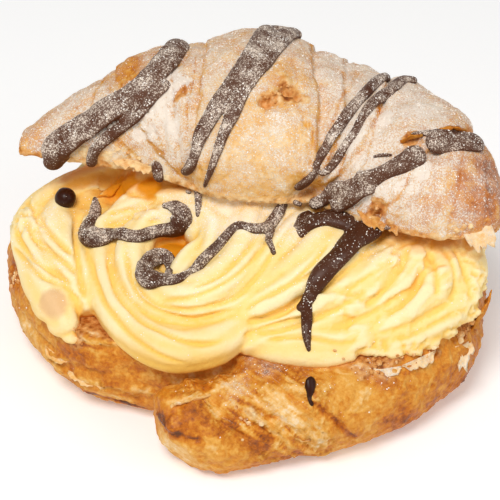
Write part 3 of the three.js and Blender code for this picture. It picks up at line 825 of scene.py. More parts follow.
def star(name, ridges, depth):
    """A nozzle's mouth: rounded ridges with sharp furrows between."""
    outline = bpy.data.curves.new(name, "CURVE")
    outline.dimensions = "2D"
    ring = outline.splines.new("POLY")
    ring.points.add(STAR_CORNERS - 1)
    ring.use_cyclic_u = True
    for i, corner in enumerate(ring.points):
        angle = 2 * math.pi * i / STAR_CORNERS
        reach = 1 - depth * (1 - abs(math.cos(ridges * angle / 2)) ** 0.8)
        corner.co = (reach * math.cos(angle), reach * math.sin(angle), 0, 1)
    made = bpy.data.objects.new(name, outline)
    scene.collection.objects.link(made)
    return made


def closed_ends(points):
    """A rope's points with its ends drawn to a round close."""
    for _ in range(2):
        (x, y, z, radius), after = points[0], points[1]
        away = (Vector((x, y, z)) - Vector(after[:3])).normalized()
        tip = [(*(Vector((x, y, z)) + away * radius * far), radius * share)
               for far, share in ((0.98, 0.12), (0.85, 0.5), (0.55, 0.83))]
        points = (tip + list(points))[::-1]
    return points


def piped(name, points, start_twist, twist, mouth):
    """A rope pressed out through the mouth along these points."""
    points = closed_ends(points)
    path = bpy.data.curves.new(name, "CURVE")
    path.dimensions = "3D"
    path.resolution_u = 8
    path.twist_mode = "Z_UP"
    path.bevel_mode = "OBJECT"
    path.bevel_object = mouth
    path.use_fill_caps = True
    spline = path.splines.new("BEZIER")
    spline.bezier_points.add(len(points) - 1)
    travelled = 0
    for i, (point, (x, y, z, radius)) in enumerate(zip(spline.bezier_points, points)):
        if i:
            travelled += math.dist((x, y, z), points[i - 1][:3])
        point.co = Vector((x, y, z)) * MM
        point.handle_left_type = point.handle_right_type = "AUTO"
        point.radius = radius * MM
        point.tilt = math.radians(start_twist + twist * travelled)
    made = bpy.data.objects.new(name, path)
    scene.collection.objects.link(made)
    return made


mouths = {name: star("mouth_" + name, *shape) for name, shape in MOUTHS.items()}
batches = [piped(name, points, start, twist, mouths[mouth])
           for name, (mouth, points, start, twist) in ROPES.items()]
for middle, halves in LUMPS:
    bpy.ops.object.select_all(action="DESELECT")
    bpy.ops.mesh.primitive_uv_sphere_add(segments=48, ring_count=24, radius=MM,
                                         location=Vector(middle) * MM)
    bpy.context.object.scale = halves
    batches.append(bpy.context.object)
take(*batches)
bpy.ops.object.convert(target="MESH")
bpy.context.view_layer.objects.active = batches[-1]
bpy.ops.object.join()
custard = bpy.context.object
custard.name = custard.data.name = "custard"
bpy.ops.object.transform_apply(location=True, rotation=True, scale=True)
for mouth in mouths.values():
    bpy.data.objects.remove(mouth)
knead(custard, CUSTARD_GRAIN, CUSTARD_SMOOTHING)


def hollowness(piece, reach):
    """How deep each vertex lies (mm) below the middle of the skin around it."""
    places, outwards = skin_of(piece)
    ends = np.empty(len(piece.data.edges) * 2, dtype=int)
    piece.data.edges.foreach_get("vertices", ends)
    a, b = ends[0::2], ends[1::2]
    degree = np.bincount(ends, minlength=len(places))[:, None]
    eased = places.copy()
    for _ in range(reach):
        total = np.zeros_like(eased)
        for axis in range(3):
            total[:, axis] = (np.bincount(a, eased[b, axis], len(places))
                              + np.bincount(b, eased[a, axis], len(places)))
        eased = total / degree
    return ((eased - places) * outwards).sum(axis=1)


# The edge of the smear that hangs over the rim on the right.
RIGHT_SMEAR = [(59.5, -26.5, 32), (53.5, -30.5, 32.5), (48, -33.5, 31.5), (43, -36, 30.5),
               (37.5, -37.5, 29)]

# Where it was dragged, smeared and torn as the lid went on: lines along its grooves (depth, half
# width), and lines along the edges of its folds (height, width).
CUSTARD_GROOVES = [
    ([(7, -17.5, 45), (3.5, -23.5, 42), (0.5, -26.5, 40.5), (-2, -29.5, 39.5), (-6, -32, 38.5)], 0.8, 0.9),
    ([(21.5, -23.5, 45.5), (14, -28, 43.5), (7.5, -30.5, 42), (2, -31.5, 39.5),
      (-1.5, -33.5, 36)], 0.9, 0.9),
    ([(18.5, -29, 41), (13.5, -30.5, 38.5), (10, -33, 36.5), (4.5, -34.5, 35), (-1, -35, 34.5)], 1.4, 0.9),
    ([(18.5, -33.5, 36), (13.5, -34.5, 35), (7.5, -35, 34), (2, -36, 33), (-1.5, -39, 32.5)], 1.0, 0.9),
    ([(31, -37.5, 31.5), (25.5, -39.5, 30.5), (17.5, -38.5, 32.5), (11, -37.5, 32),
      (3.5, -38.5, 31)], 1.0, 0.9),
    ([(47, -21, 42.5), (45.5, -26.5, 39.5), (43, -29.5, 37.5), (39.5, -31, 36),
      (36, -32.5, 34.5)], 1.5, 0.9),
    ([(43, -15.5, 45.5), (41.5, -21, 44), (37.5, -25.5, 41.5), (35, -29, 39), (29.5, -31.5, 36)], 1.3, 1.2),
    ([(48, -17, 45), (50, -21.5, 42.5), (50, -25, 41), (50, -28.5, 38)], 1.2, 0.9),
    ([(54, -14.5, 45), (57.5, -18.5, 42), (59, -22, 38), (59.5, -26.5, 33.5)], 1.1, 0.9),
    ([(51.5, -15, 45.5), (54, -19, 43.5), (55.5, -22.5, 40.5), (56, -25, 36.5), (53.5, -28, 35)], 0.9, 0.8),
    ([(39, -20, 44.5), (35, -24, 43.5), (29.5, -27.5, 42), (24.5, -29.5, 40.5)], 0.8, 1.0),
    (RIGHT_SMEAR, 0.9, 0.9),
    ([(54.5, -27, 35.5), (49, -30.5, 34.5), (43.5, -33, 33), (38, -35, 32), (32.5, -36.5, 31)], 0.8, 0.9),
    ([(39, -28.5, 38.5), (35, -31, 36), (30, -32.5, 34), (25.5, -34.5, 33)], 0.9, 0.9),
    ([(25.5, -30.5, 38.5), (26, -33.5, 34.5), (26.5, -37.5, 32.5)], 0.6, 0.7),
    ([(-62.5, 6.5, 38), (-59.5, -1, 37.5), (-54.5, -7.5, 36.5), (-48, -12.5, 35.5),
      (-45.5, -16, 33.5)], 1.1, 0.9),
    ([(-65.5, 5.5, 36), (-63, -1, 35), (-59, -9.5, 35.5), (-53.5, -13, 33.5),
      (-46.5, -19, 33.5)], 1.1, 0.9),
    ([(-64.5, 0, 33), (-61.5, -6, 33), (-56, -16, 34.5), (-51.5, -18, 33)], 0.9, 0.9),
    ([(-62.5, 15, 37.5), (-59.5, 7, 38), (-54, -2.5, 38.5), (-49, -8, 37.5),
      (-46.5, -10.5, 35.5)], 1.0, 0.9),
    ([(-46.5, 8.5, 39), (-47.5, -1.5, 38), (-46.5, -11, 36.5), (-44.5, -20, 33.5),
      (-43.5, -23.5, 30.5)], 1.2, 1.1),
    ([(-43, -7, 36), (-41, -17, 34.5), (-38, -26.5, 33.5), (-31, -37.5, 32.5), (-22.5, -44.5, 31),
      (-13.5, -44.5, 29)], 0.8, 0.8),
    ([(-38.5, -6, 37.5), (-37.5, -15.5, 36), (-35, -25, 36), (-28.5, -34.5, 35), (-19, -42, 34.5),
      (-10, -42.5, 33), (-4.5, -39.5, 34)], 1, 0.8),
    ([(-33.5, -10.5, 41), (-32, -19, 38.5), (-29.5, -27, 37), (-23, -32.5, 36), (-15, -34.5, 35),
      (-7.5, -33.5, 36.5), (-2, -32, 37.5)], 1, 0.8),
    ([(-31, -16, 39.5), (-29.5, -23.5, 38), (-26, -29.5, 37.5), (-19, -33, 37), (-10, -33, 38.5),
      (-2.5, -29.5, 38.5), (3.5, -26.5, 41.5)], 0.8, 0.75),
    ([(-25.5, -29.5, 37.5), (-18, -31.5, 39.5), (-8.5, -31, 42.5), (-1, -24.5, 44),
      (4.5, -15, 45)], 0.6, 0.75),
    ([(-15, -31, 42.5), (-7.5, -28, 44), (-1, -20, 45.5), (4, -11.5, 46.5)], 0.6, 0.75),
    ([(-41.5, 9.5, 40.5), (-36.5, 11, 41.5), (-30, 5.5, 46), (-24, 3, 47)], 0.7, 0.8),
    ([(-40, 3, 41.5), (-34, 3, 43), (-27, 1.5, 45), (-22.5, -2, 46)], 0.7, 0.8),
    ([(-39.5, 0, 40), (-34, 1, 40.5), (-26.5, -4, 44), (-23, -3.5, 44.5)], 0.7, 0.8),
    ([(3.5, -31.5, 39), (11, -29, 42), (17.5, -24, 46), (22, -17.5, 48.5)], 0.9, 0.8),
    ([(0.5, -34, 35), (8.5, -32, 35.5), (15, -30, 38), (21.5, -28, 41.5), (28.5, -22.5, 45)], 1, 0.8),
    ([(-1, -37.5, 32.5), (7, -36.5, 32.5), (16.5, -34.5, 34.5), (25.5, -31.5, 37.5),
      (32, -28.5, 40.5)], 0.9, 0.8),
    ([(7.5, -17.5, 45), (10, -13, 47), (13, -8.5, 47.5)], 0.7, 0.8),
]
# Every groove is cut this much deeper than its line says, and to this share of its width.
GROOVE_DEEPER, GROOVE_NARROWER = 1.3, 0.85
CUSTARD_FOLDS = [
    ([(40, -31.5, 36), (43.5, -29.5, 37.5), (46, -25.5, 40), (46, -21, 43.5)], 1.0, 5),
    ([(40, -18.5, 45), (41, -21, 43.5), (39, -25, 42.5), (36, -28, 40), (31, -30.5, 38.5)], 0.9, 5),
    ([(16.5, -30, 39.5), (21.5, -30, 41), (27.5, -29.5, 39), (33, -30.5, 36.5)], 0.8, 5),
    (RIGHT_SMEAR[::-1], 0.8, 4),
    ([(-44, -23.5, 28.5), (-44.5, -22, 31.5), (-46.5, -19.5, 33), (-50, -17.5, 33.5),
      (-53, -16, 33.5)], 0.8, 4),
]
# Where it sank away under the left end of the lid: place, radius and depth.
CUSTARD_HOLLOWS = [((-43.5, 11.5, 44), 11, 3.6), ((-38, 14, 46), 8, 2.5)]
# Where it was smeared into broken layers (place and radius), the way it was dragged, and where its
# edges are ragged (place and radius).
SMEARED = [((46, -22, 38), 20), ((32, -32, 34), 14), ((56, -16, 38), 12)]
SMEAR_WAY = (-0.82, -0.45, -0.36)
RAGGED = [((-62, 8, 38), 6), ((-60, 3, 37.5), 5), ((61, -20, 34), 7), ((60, -24, 30), 4),
          ((-63.5, 5, 36), 6), ((44, -37, 27), 6), ((54, -30, 27), 5), ((-47, -28, 24), 3),
          ((34, -38, 27), 4)]
# Over how many steps of the mesh it is seen where it lies low or stands out: in the finest furrows,
# along its crests, and between whole ropes.
FURROW_REACH, CREST_REACH, ROPE_REACH = 6, 14, 36

skin, out = skin_of(custard)
along = np.array(SMEAR_WAY) / np.linalg.norm(SMEAR_WAY)
over = np.cross(along, (0, 0, 1))
over /= np.linalg.norm(over)
dragged = skin @ np.stack([along, over, np.cross(along, over)], axis=1)
smeared = near_spots(skin, SMEARED, 1.5 * wobble(skin, 8, 33))
broken = 0.55 * (ramp(wobble(dragged, 6, 34, (2.4, 1, 1)), -0.05, 0.07) - 0.5)
broken += 0.22 * (ramp(wobble(dragged, 2.8, 35, (2.2, 1, 1)), -0.06, 0.06) - 0.5)
broken += 0.1 * wobble(dragged, 1.4, 36, (3, 1, 1))
rise = 0.16 * wobble(skin, 6, 31) + 0.07 * wobble(skin, 1.8, 32) + smeared * broken
rise += 1.1 * near_spots(skin, RAGGED) * wobble(skin, 1.9, 37, depth=3)
for middle, radius, depth in CUSTARD_HOLLOWS:
    rise += hollow(skin, middle, radius, depth)
scored = np.zeros(len(skin))
for line, depth, half_width in CUSTARD_GROOVES:
    scored = np.minimum(scored, furrow(skin, line, GROOVE_DEEPER * depth, GROOVE_NARROWER * half_width))
scored *= 1 - 0.4 * ramp(skin[:, 0], 14, 28)
rise += scored
wandering = skin + 0.4 * wobble(skin, 3, 38)[:, None]
for line, height, width in CUSTARD_FOLDS:
    rise += lap_rise(wandering, out, line, height, width, 0.8)
under_edge = ramp(skin[:, 2], 24, 27)
skin = skin + (rise * (0.4 + 0.6 * under_edge))[:, None] * out
set_skin(custard, skin)

# How deep in a furrow each place lies, whether on a crest, and how low on the side: masks for
# painted shade in the furrows and low down, and for a painted highlight on the crests.
deep = np.maximum(ramp(hollowness(custard, FURROW_REACH), 0.02, 0.24),
                  ramp(hollowness(custard, ROPE_REACH), 0.5, 1.8))
mark(custard, "furrow", np.maximum(deep, ramp(-scored, 0.25, 1.1)))
mark(custard, "crest_highlight", ramp(-hollowness(custard, CREST_REACH), 0.04, 0.5))
rosette_foot_shade = (1 - ramp(skin[:, 2], 27.5, 40)) * ramp(-skin[:, 0], 2, 8) * ramp(skin[:, 0], -36, -26)
mark(custard, "foot_shade", 0.3 * (1 - ramp(skin[:, 2], 26, 34)) + 0.7 * rosette_foot_shade)

# Fallen sugar: place, reach and amount. A brown stain in the lobe at the left end: place and radius.
CUSTARD_DUST = [
    ((-2, -4, 48), 14, 0.85), ((10, -6, 48), 12, 0.75), ((-18, -1, 46), 10, 0.6), ((-30, 4, 42), 10, 0.30),
    ((-44, 4, 40), 9, 0.25), ((-55, 5, 38), 10, 0.38), ((26, -10, 48), 10, 0.35), ((36, -16, 46), 9, 0.35),
    ((-6, -16, 46), 9, 0.35), ((16, -16, 48), 9, 0.30), ((-58, -8, 35), 9, 0.30), ((-51, -14, 34), 7, 0.22),
    ((-34, -10, 40), 9, 0.25), ((-30, -24, 38), 10, 0.16), ((-8, -28, 42), 12, 0.18),
    ((12, -28, 42), 12, 0.14),
]
STAIN = [((-52.5, -24, 32), 5.2)]
# The cream's two plain tones, and how strongly each mark changes them, and to what colour. The stain
# is a real stain; the others are painted light: a painted highlight on the crests, and painted shade
# on the undersides, low down, in the furrows and where it is sheltered.
CREAM_TONES = [(255, 220, 134), (255, 228, 158)]
CREAM_TINTS = {
    "crest_highlight": (1.0, (255, 236, 184)), "underside": (0.5, (255, 212, 122)), "foot_shade": (0.9, (240, 188, 80)),
    "furrow": (0.58, (255, 198, 70)), "stain": (0.9, (232, 186, 134)), "shelter_shade": (1.0, (228, 142, 0)),
}
DUST_ON_CREAM = (253, 240, 220)

dusted = np.zeros(len(skin))
for middle, spread, amount in CUSTARD_DUST:
    distance = np.linalg.norm(skin - np.array(middle), axis=1)
    dusted = np.maximum(dusted, amount * (1 - ramp(distance, 0.3 * spread, 1.3 * spread)))
mark(custard, "stain", near_spots(skin, STAIN, 0.8 * wobble(skin, 2.5, 39)))

custard.data.materials.clear()
custard_cream, shader, w, where = new_finish("custard_cream")
tone = w.mix(w.noise(where, 160, 3), *(srgb(*colour) for colour in CREAM_TONES))
for kept, (strength, tint) in CREAM_TINTS.items():
    # Faces that look down are given painted shade.
    share = w.between(w.upward(), 0.35, -0.3) if kept == "underside" else w.marked(kept)
    tone = w.mix(w.times(share, strength), tone, srgb(*tint))
dust = w.dust(where, w.marked("sugar"))
tone = w.mix(w.times(dust.outputs["Cover"], 0.8), tone, srgb(*DUST_ON_CREAM))
relief = w.plus(w.noise(where, 700, 3, 0.6), w.times(w.noise(where, 2200, 2, 0.6), 0.5))
w.join(shader, {"Base Color": tone, "Roughness": 0.6, "Specular IOR Level": 0.22,
                "Normal": w.bump(relief, 0.45, 0.0005)})
custard.data.materials.append(custard_cream)
shade_round(custard)
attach(custard, "root")
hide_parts("custard_filling")

# ---------------------------------------------------------------- lid
# The upper half of the same croissant, set back on the custard. Its laps fan out from two places on
# the cut edge and leave one broad smooth panel between. It is sieved with icing sugar, thickest on
# the left, and torn open in small places that show the crumb.

LID_GRAIN = 0.7
LID_SMOOTHING = 3

# A point on the plane that it was cut along (x, y, z), and how much that plane falls for each
# millimetre to the right and to the back.
LID_CUT = (0.56, 1.8, 51)
LID_CUT_FALL = (0.077, 0.13)

# Its laps, furrows and hollows are given as the base's are.
LID_LAPS = [
    ([(-46, 10.5, 61.5), (-43, 15, 68), (-41, 25, 70.5), (-39, 38, 66)], 0.8, 9),
    ([(-16, -1.5, 54.5), (-24, 4, 59.5), (-30.5, 9.5, 68.5), (-36.5, 25.5, 72.5), (-36, 38, 67)], 1.1, 10),
    ([(-16, -1.5, 54), (-16, -1.5, 58.5), (-14, -0.5, 69), (-13, 9, 77), (-12, 25, 79.5), (-11, 42, 73),
      (-10, 52, 58)], 1.2, 12),
    ([(16, 50, 58), (16.5, 40, 70), (17.5, 23.5, 77.5), (19, 10.5, 76), (18.5, 0.5, 71.5), (18, -5, 64),
      (16.5, -6, 58.5), (15, -6, 53)], 1.8, 12),
    ([(27, 47, 55), (27, 38, 68), (26.5, 25.5, 74.5), (26, 6, 74), (22, -5, 65.5), (18.5, -6.5, 58.5),
      (15.5, -6, 53)], 1.3, 7),
    ([(40, 38, 60), (38.5, 30, 70), (38, 21.5, 73), (34.5, 4.5, 74), (29.5, -5.5, 69), (22, -7.5, 59.5),
      (15.5, -6, 53)], 1.6, 9),
    ([(62, 16, 58), (60, 7.5, 67), (50.5, -5.5, 71), (42.5, -11, 70), (34.5, -11, 66), (26, -9.5, 59.5),
      (16, -6, 52.5)], 1.6, 10),
]
LID_FURROWS = [
    ([(-52, 14, 62), (-46, 17, 68), (-40, 22, 72)], 0.35, 0.8),
    ([(-38, 9, 60), (-33, 12, 67), (-30, 20, 74)], 0.35, 0.8),
    ([(-22, 1, 58), (-22, 6, 68), (-22, 18, 76)], 0.4, 0.8),
    ([(30, -7.5, 66), (37, -9, 70), (45, -8.5, 72)], 0.4, 0.7),
    ([(24, -7, 62), (28, -2, 70), (30, 8, 75)], 0.35, 0.8),
]
LID_HOLLOWS = [
    ((5.5, 5, 77.5), 4.0, 0.8), ((11.5, 9, 78.5), 5.0, 0.8), ((4.6, 4.4, 77.5), 2.4, 2.2),
    ((7, 5.4, 78), 1.8, 1.6), ((10.6, 9.2, 78.5), 2.4, 2.6), ((13.5, 8.2, 77.5), 1.8, 1.6),
    ((-17.5, 11.5, 76.5), 2.2, 0.8), ((43, -5.5, 72.5), 2.6, 1.0), ((-33, 24, 75), 4.5, 0.5),
    ((35, -14, 57), 3.2, 1.2), ((-34, 6, 56), 2.4, 0.8), ((34, -13.5, 54), 2.6, 1.2),
    ((64.5, -2, 62.5), 3, 1.2),
]
# Places that baked darker, or stayed paler, and two of the deepest holes in the torn patch on top,
# darkened as painted shade: place, radius and shift.
LID_SHIFTS = [
    ((8.5, 7, 78), 7.5, 0.05), ((5, 4.6, 77.5), 2.6, 0.44), ((11, 9, 78.5), 2.6, 0.46),
    ((-18, 12, 76), 3, 0.2), ((43, -5, 73), 2.4, 0.25), ((54, 0, 72.5), 3.0, 0.25),
    ((58, 3.5, 70), 3.0, 0.25), ((34, -13.5, 54), 5, 0.22), ((64, -6, 60), 9, 0.14),
    ((58, -14, 60), 8, 0.12), ((50, -17, 58), 7, 0.06), ((-36, 8, 57), 4, -0.25),
    ((-30, 7, 56.5), 4, -0.25), ((-46, 10, 56), 5, -0.20), ((-24, 4, 55), 4, -0.3),
    ((52, -19, 53), 6, -0.15),
]

# Where the sugar lies solid: place and radius.
LID_WHITE = [
    ((-23.5, 9, 72), 5.5), ((-26.5, 12.5, 74.5), 4.5), ((-20.5, 4.5, 69), 4.5), ((-18.5, 13.5, 77), 5),
    ((-29, 8, 66.5), 3.5), ((-21, 19, 78.5), 4), ((29.5, -1, 72.5), 4), ((35.5, 4.5, 73.5), 4),
    ((25.5, -4.5, 68.5), 3), ((32.5, -6, 69.5), 3), ((31, -12.5, 59.5), 2.6), ((45, -13.5, 68.5), 3.5),
    ((40, -16, 64), 3), ((-45, 14, 68), 3.5), ((-38, 11, 66), 3),
]

# How it has baked: place, browning and sugar.
LID_BAKE = [
    (-2, 0.5, 74.5, 0.35, 0.30), (8.5, -4, 68.5, 0.32, 0.36), (-2, -5.5, 63, 0.30, 0.34),
    (5, -7, 58, 0.34, 0.30), (-8, -4, 60, 0.36, 0.30), (8, 4, 76, 0.36, 0.34), (-6, 10, 79, 0.36, 0.45),
    (-40.5, 12, 67, 0.42, 0.62), (-51.5, 13.5, 62.5, 0.46, 0.52), (-57.5, 12.5, 56.5, 0.56, 0.38),
    (-35, 8, 60, 0.44, 0.45), (-28, 3, 57, 0.42, 0.50), (-45, 10.5, 58, 0.50, 0.38),
    (-32.5, 24.5, 75, 0.62, 0.05), (-27, 24, 77, 0.56, 0.35), (-39, 22, 71, 0.48, 0.50),
    (-17.5, 11.5, 76.5, 0.50, 0.45), (-23.5, 11.5, 74, 0.36, 0.85), (-20, 4, 66, 0.40, 0.65),
    (-18, 18, 78, 0.46, 0.55), (-7.5, 21, 80.5, 0.46, 0.50), (0.5, 30, 81.5, 0.50, 0.48),
    (9, 7.5, 78, 0.46, 0.30), (19.5, 21.5, 77, 0.50, 0.48), (22.5, 18.5, 76, 0.48, 0.50),
    (27, 0, 71.5, 0.46, 0.58), (31, 10, 75, 0.46, 0.55), (46, 6.5, 74, 0.52, 0.52),
    (53.5, 0.5, 71.5, 0.52, 0.40), (58.5, -11, 66.5, 0.66, 0.24), (61, -16, 60.5, 0.70, 0.18),
    (66, -8, 58, 0.68, 0.20), (54, -17.5, 62, 0.56, 0.28), (50.5, -19, 59.5, 0.50, 0.32),
    (40, -17, 61.5, 0.46, 0.52), (32.5, -13.5, 58.5, 0.46, 0.50), (38, -13, 67, 0.46, 0.62),
    (47, -16, 66, 0.52, 0.44), (43, -5.5, 72.5, 0.50, 0.46), (-61.5, 13, 56, 0.56, 0.35),
    (22, -8, 58, 0.46, 0.45), (-30, 40, 68, 0.52, 0.5), (0, 50, 64, 0.52, 0.5), (30, 42, 66, 0.54, 0.5),
    (54, 22, 66, 0.56, 0.45), (-50, 25, 62, 0.54, 0.45), (0, 54, 50, 0.62, 0.25), (35, 44, 50, 0.62, 0.25),
    (-35, 42, 56, 0.62, 0.25),
]
# Torn crumb: place and radius, and how high it reaches up from the cut (mm).
LID_TORN = [
    ((5.5, 5, 77.5), 3.8), ((8.5, 7, 78), 3.0), ((11.5, 9, 78.5), 4.8), ((15, 8.5, 77.5), 2.6),
    ((-17.5, 11.5, 76.5), 2.6), ((43, -5.5, 72.5), 2.6), ((35, -14, 56.5), 3.4), ((-40, 9.3, 56), 3.0),
    ((-33, 6, 55.5), 2.6), ((-36, 7, 55.5), 2.6), ((-44, 9.8, 56.5), 2.6), ((32, -13, 53), 2.6),
    ((38, -15.5, 52.5), 2.4),
]
LID_RIM = 2.3
# The two places on the cut edge where its laps are gathered, how far apart their layers are counted,
# and how wide the layers fan out from them (mm).
LID_GATHERS = [(-16, -1.5, 54), (15, -6, 53)]
GATHERS_APART = 31.5
FAN_RADIUS = 30
# How far to the left it reaches (mm). What was beyond is pressed back by this share.
LEFT_TIP = -62.6
TIP_PRESS = 0.75

crust_lid = copy_of_node("croissant_lid", "crust_lid")
knead(crust_lid, LID_GRAIN, LID_SMOOTHING)
skin, out = skin_of(crust_lid)
over_cut = skin[:, 2] - (LID_CUT[2] - LID_CUT_FALL[0] * (skin[:, 0] - LID_CUT[0])
                         - LID_CUT_FALL[1] * (skin[:, 1] - LID_CUT[1]))
skin[:, 0] -= TIP_PRESS * np.minimum(skin[:, 0] - LEFT_TIP, 0)

# Its layers fan out from the two gathered places on the cut edge: how far each place lies along them
# and across them (mm), and how strongly they show.
fans = []
for middle in LID_GATHERS:
    aside = skin[:, 0] - middle[0]
    back = np.hypot(skin[:, 1] - middle[1], skin[:, 2] - middle[2])
    fans.append((np.hypot(aside, back), FAN_RADIUS * np.arctan2(aside, back + 5)))
left, right = ramp(-skin[:, 0], 9, 15), ramp(skin[:, 0], 9, 15)
middle_share = 1 - left - right
run = left * fans[0][0] + right * fans[1][0] + middle_share * (fans[0][0] + fans[1][0]) / 2
cross = left * fans[0][1] + right * (fans[1][1] + GATHERS_APART)
cross += middle_share * (skin[:, 0] - LID_GATHERS[0][0])
fanned = (left + right) * ramp(run, 3, 14) * (1 - 0.65 * ramp(run, 26, 46))
flow = np.stack([run, cross, 0 * run], axis=1)
creases = wobble(flow, 5.0, 41, (6, 1, 1), 3)
thin_creases = 1 - ramp(np.abs(wobble(flow, 6.5, 42, (6, 1, 1), 2)), 0.0, 0.07)

rise = 0.55 * wobble(skin, 11, 11) + 0.28 * wobble(skin, 3.5, 12) + 0.1 * wobble(skin, 1.6, 25)
rise += fanned * (1.1 * creases - 0.55 * thin_creases)
lap_edges = np.full(len(skin), np.inf)
wandering = skin + 0.9 * wobble(skin, 6, 13)[:, None] + 0.4 * wobble(skin, 2.5, 28)[:, None]
for line, height, width in LID_LAPS:
    distance = follow(laid(line, skin), wandering)[2]
    rise += (lap_rise(wandering, out, line, 0.75 * height, width, 0.8)
             - 0.8 * height * np.exp(-(distance / 3.4) ** 2))
    lap_edges = np.minimum(lap_edges, distance)
for line, depth, half_width in LID_FURROWS:
    rise += furrow(skin, line, depth, half_width)
ragged = skin + 0.7 * wobble(skin, 1.8, 29)[:, None]
for middle, radius, depth in LID_HOLLOWS:
    rise += hollow(ragged, middle, radius, depth)
# The cut edge is ragged, but its underside keeps nearly level.
rim = 1 - ramp(over_cut, 0.6, 3.0)
rise += 0.8 * rim * wobble(skin, 1.8, 14, depth=3)
rise *= 1 - 0.8 * ramp(-out[:, 2], 0.5, 0.9) * rim
skin = skin + rise[:, None] * out
set_skin(crust_lid, skin)

moved = shaken(skin, 15)
lid_bake, lid_sugar = blend_of(moved, LID_BAKE).T
# Painted shade: the crust is made a little darker along the edges of the laps and in the thin creases.
lid_bake = lid_bake + 0.06 * np.exp(-(lap_edges / 1.0) ** 2) + 0.10 * fanned * thin_creases
for middle, radius, shift in LID_SHIFTS:
    lid_bake += shift * near_spots(moved, [(middle, radius)])
solid = near_spots(moved, LID_WHITE, 2.6 * wobble(skin, 4, 43, depth=4))
lid_sugar = 0.85 * lid_sugar + 0.23 + 0.12 * ramp(skin[:, 0], 14, 30) - 0.06 * ramp(skin[:, 0], 48, 60)
lid_sugar = np.maximum(lid_sugar, 1.12 * solid)
lid_sugar -= 0.34 * np.exp(-(lap_edges / 0.6) ** 2) + 0.35 * fanned * thin_creases
lid_torn = near_spots(moved, LID_TORN, 0.8 * wobble(skin, 2.2, 18))
lid_torn = np.maximum(lid_torn, ramp(-out[:, 2], 0.6, 0.85) * (1 - ramp(over_cut, 0.8, 2)))
frayed = over_cut + 0.7 * wobble(skin, 2.5, 19)
lid_torn = np.maximum(lid_torn, 0.8 * (1 - ramp(frayed, LID_RIM - 0.8, LID_RIM)))
mark(crust_lid, "bake", lid_bake)
mark(crust_lid, "torn", lid_torn)
mark(crust_lid, "sugar", lid_sugar * (1 - 0.92 * lid_torn), (0, 1.2))
mark(crust_lid, "run", run, None)
mark(crust_lid, "cross", cross, None)
mark(crust_lid, "streaks", 0.1 + 0.8 * fanned)
crust_lid.data.materials.append(crust_material("lid_crust", 0.2))
shade_round(crust_lid)
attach(crust_lid, "root")
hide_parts("croissant_lid")

# Painted shade: where little light reaches the custard, in its folds and under the lid, its colour is
# painted deeper and warmer. How many ways are tried from each place, how far (mm), the turn that
# spreads them evenly, and where the painted shade is darkest (place and radius).
SHELTER_RAYS = 34
SHELTER_REACH = 40
GOLDEN_TURN = math.pi * (3 - math.sqrt(5))
SHADED = [((-37, 13.5, 43.5), 5.5), ((-33, 12, 45), 5.5), ((-27, 8, 47), 5.0), ((-19, -4, 41), 4.0),
          ((-20.5, -9, 38), 7.0), ((-16, -11, 39), 4.0)]


def tree_of(*pieces):
    """The skins of these pieces as one, in millimetres, for rays and nearest points."""
    corners, faces = [], []
    for piece in pieces:
        first = len(corners)
        corners += skin_of(piece)[0].tolist()
        faces += [[first + v for v in face.vertices] for face in piece.data.polygons]
    return BVHTree.FromPolygons(corners, faces)


def sheltered(piece, around):
    """How much of the space over each vertex is closed off by what stands around it."""
    ways = []
    for i in range(SHELTER_RAYS):
        up = 1 - 2 * (i + 0.5) / SHELTER_RAYS
        level = math.sqrt(1 - up * up)
        turn = GOLDEN_TURN * i
        ways.append((level * math.cos(turn), level * math.sin(turn), up))
    places, outwards = skin_of(piece)
    leaning = outwards @ np.array(ways).T
    ways = [Vector(way) for way in ways]
    closed = np.zeros(len(places))
    for i, (place, outward) in enumerate(zip(places + 0.6 * outwards, leaning)):
        start, seen, blocked = Vector(place), 0.0, 0.0
        for k in np.nonzero(outward > 0.1)[0]:
            seen += outward[k]
            if around.ray_cast(start, ways[k], SHELTER_REACH)[0] is not None:
                blocked += outward[k]
        closed[i] = blocked / max(seen, 1e-6)
    return closed


under_lid = ramp(sheltered(custard, tree_of(crust_lid)), 0.17, 0.58)
cream_skin, _ = skin_of(custard)
at_sides = np.maximum(ramp(-cream_skin[:, 0], 12, 20), ramp(cream_skin[:, 0], 26, 36))
under_lid *= 0.3 + 0.7 * at_sides
in_folds = ramp(sheltered(custard, tree_of(custard, crust_base)), 0.5, 0.95)
in_shade = near_spots(cream_skin, SHADED, 0.8 * wobble(cream_skin, 3, 44))
# The painted shade: the strongest of that under the lid, in the folds and at the darkest spots.
mark(custard, "shelter_shade", np.maximum(np.maximum(0.52 * under_lid, 0.9 * in_folds), 0.98 * in_shade))
mark(custard, "sugar", (dusted + 0.06) * (1 - under_lid) * (1 - in_shade))

# ---------------------------------------------------------------- leaves and crumbs
# Thin leaves of crust that tore loose along the cut edges and the laps and still hang by one side,
# and the crumbs that fell from them on to the rim and the custard.

# The rows of a leaf from its joined side to its torn edge, and the step along them (mm).
LEAF_ROWS = 7
LEAF_STEP = 0.45
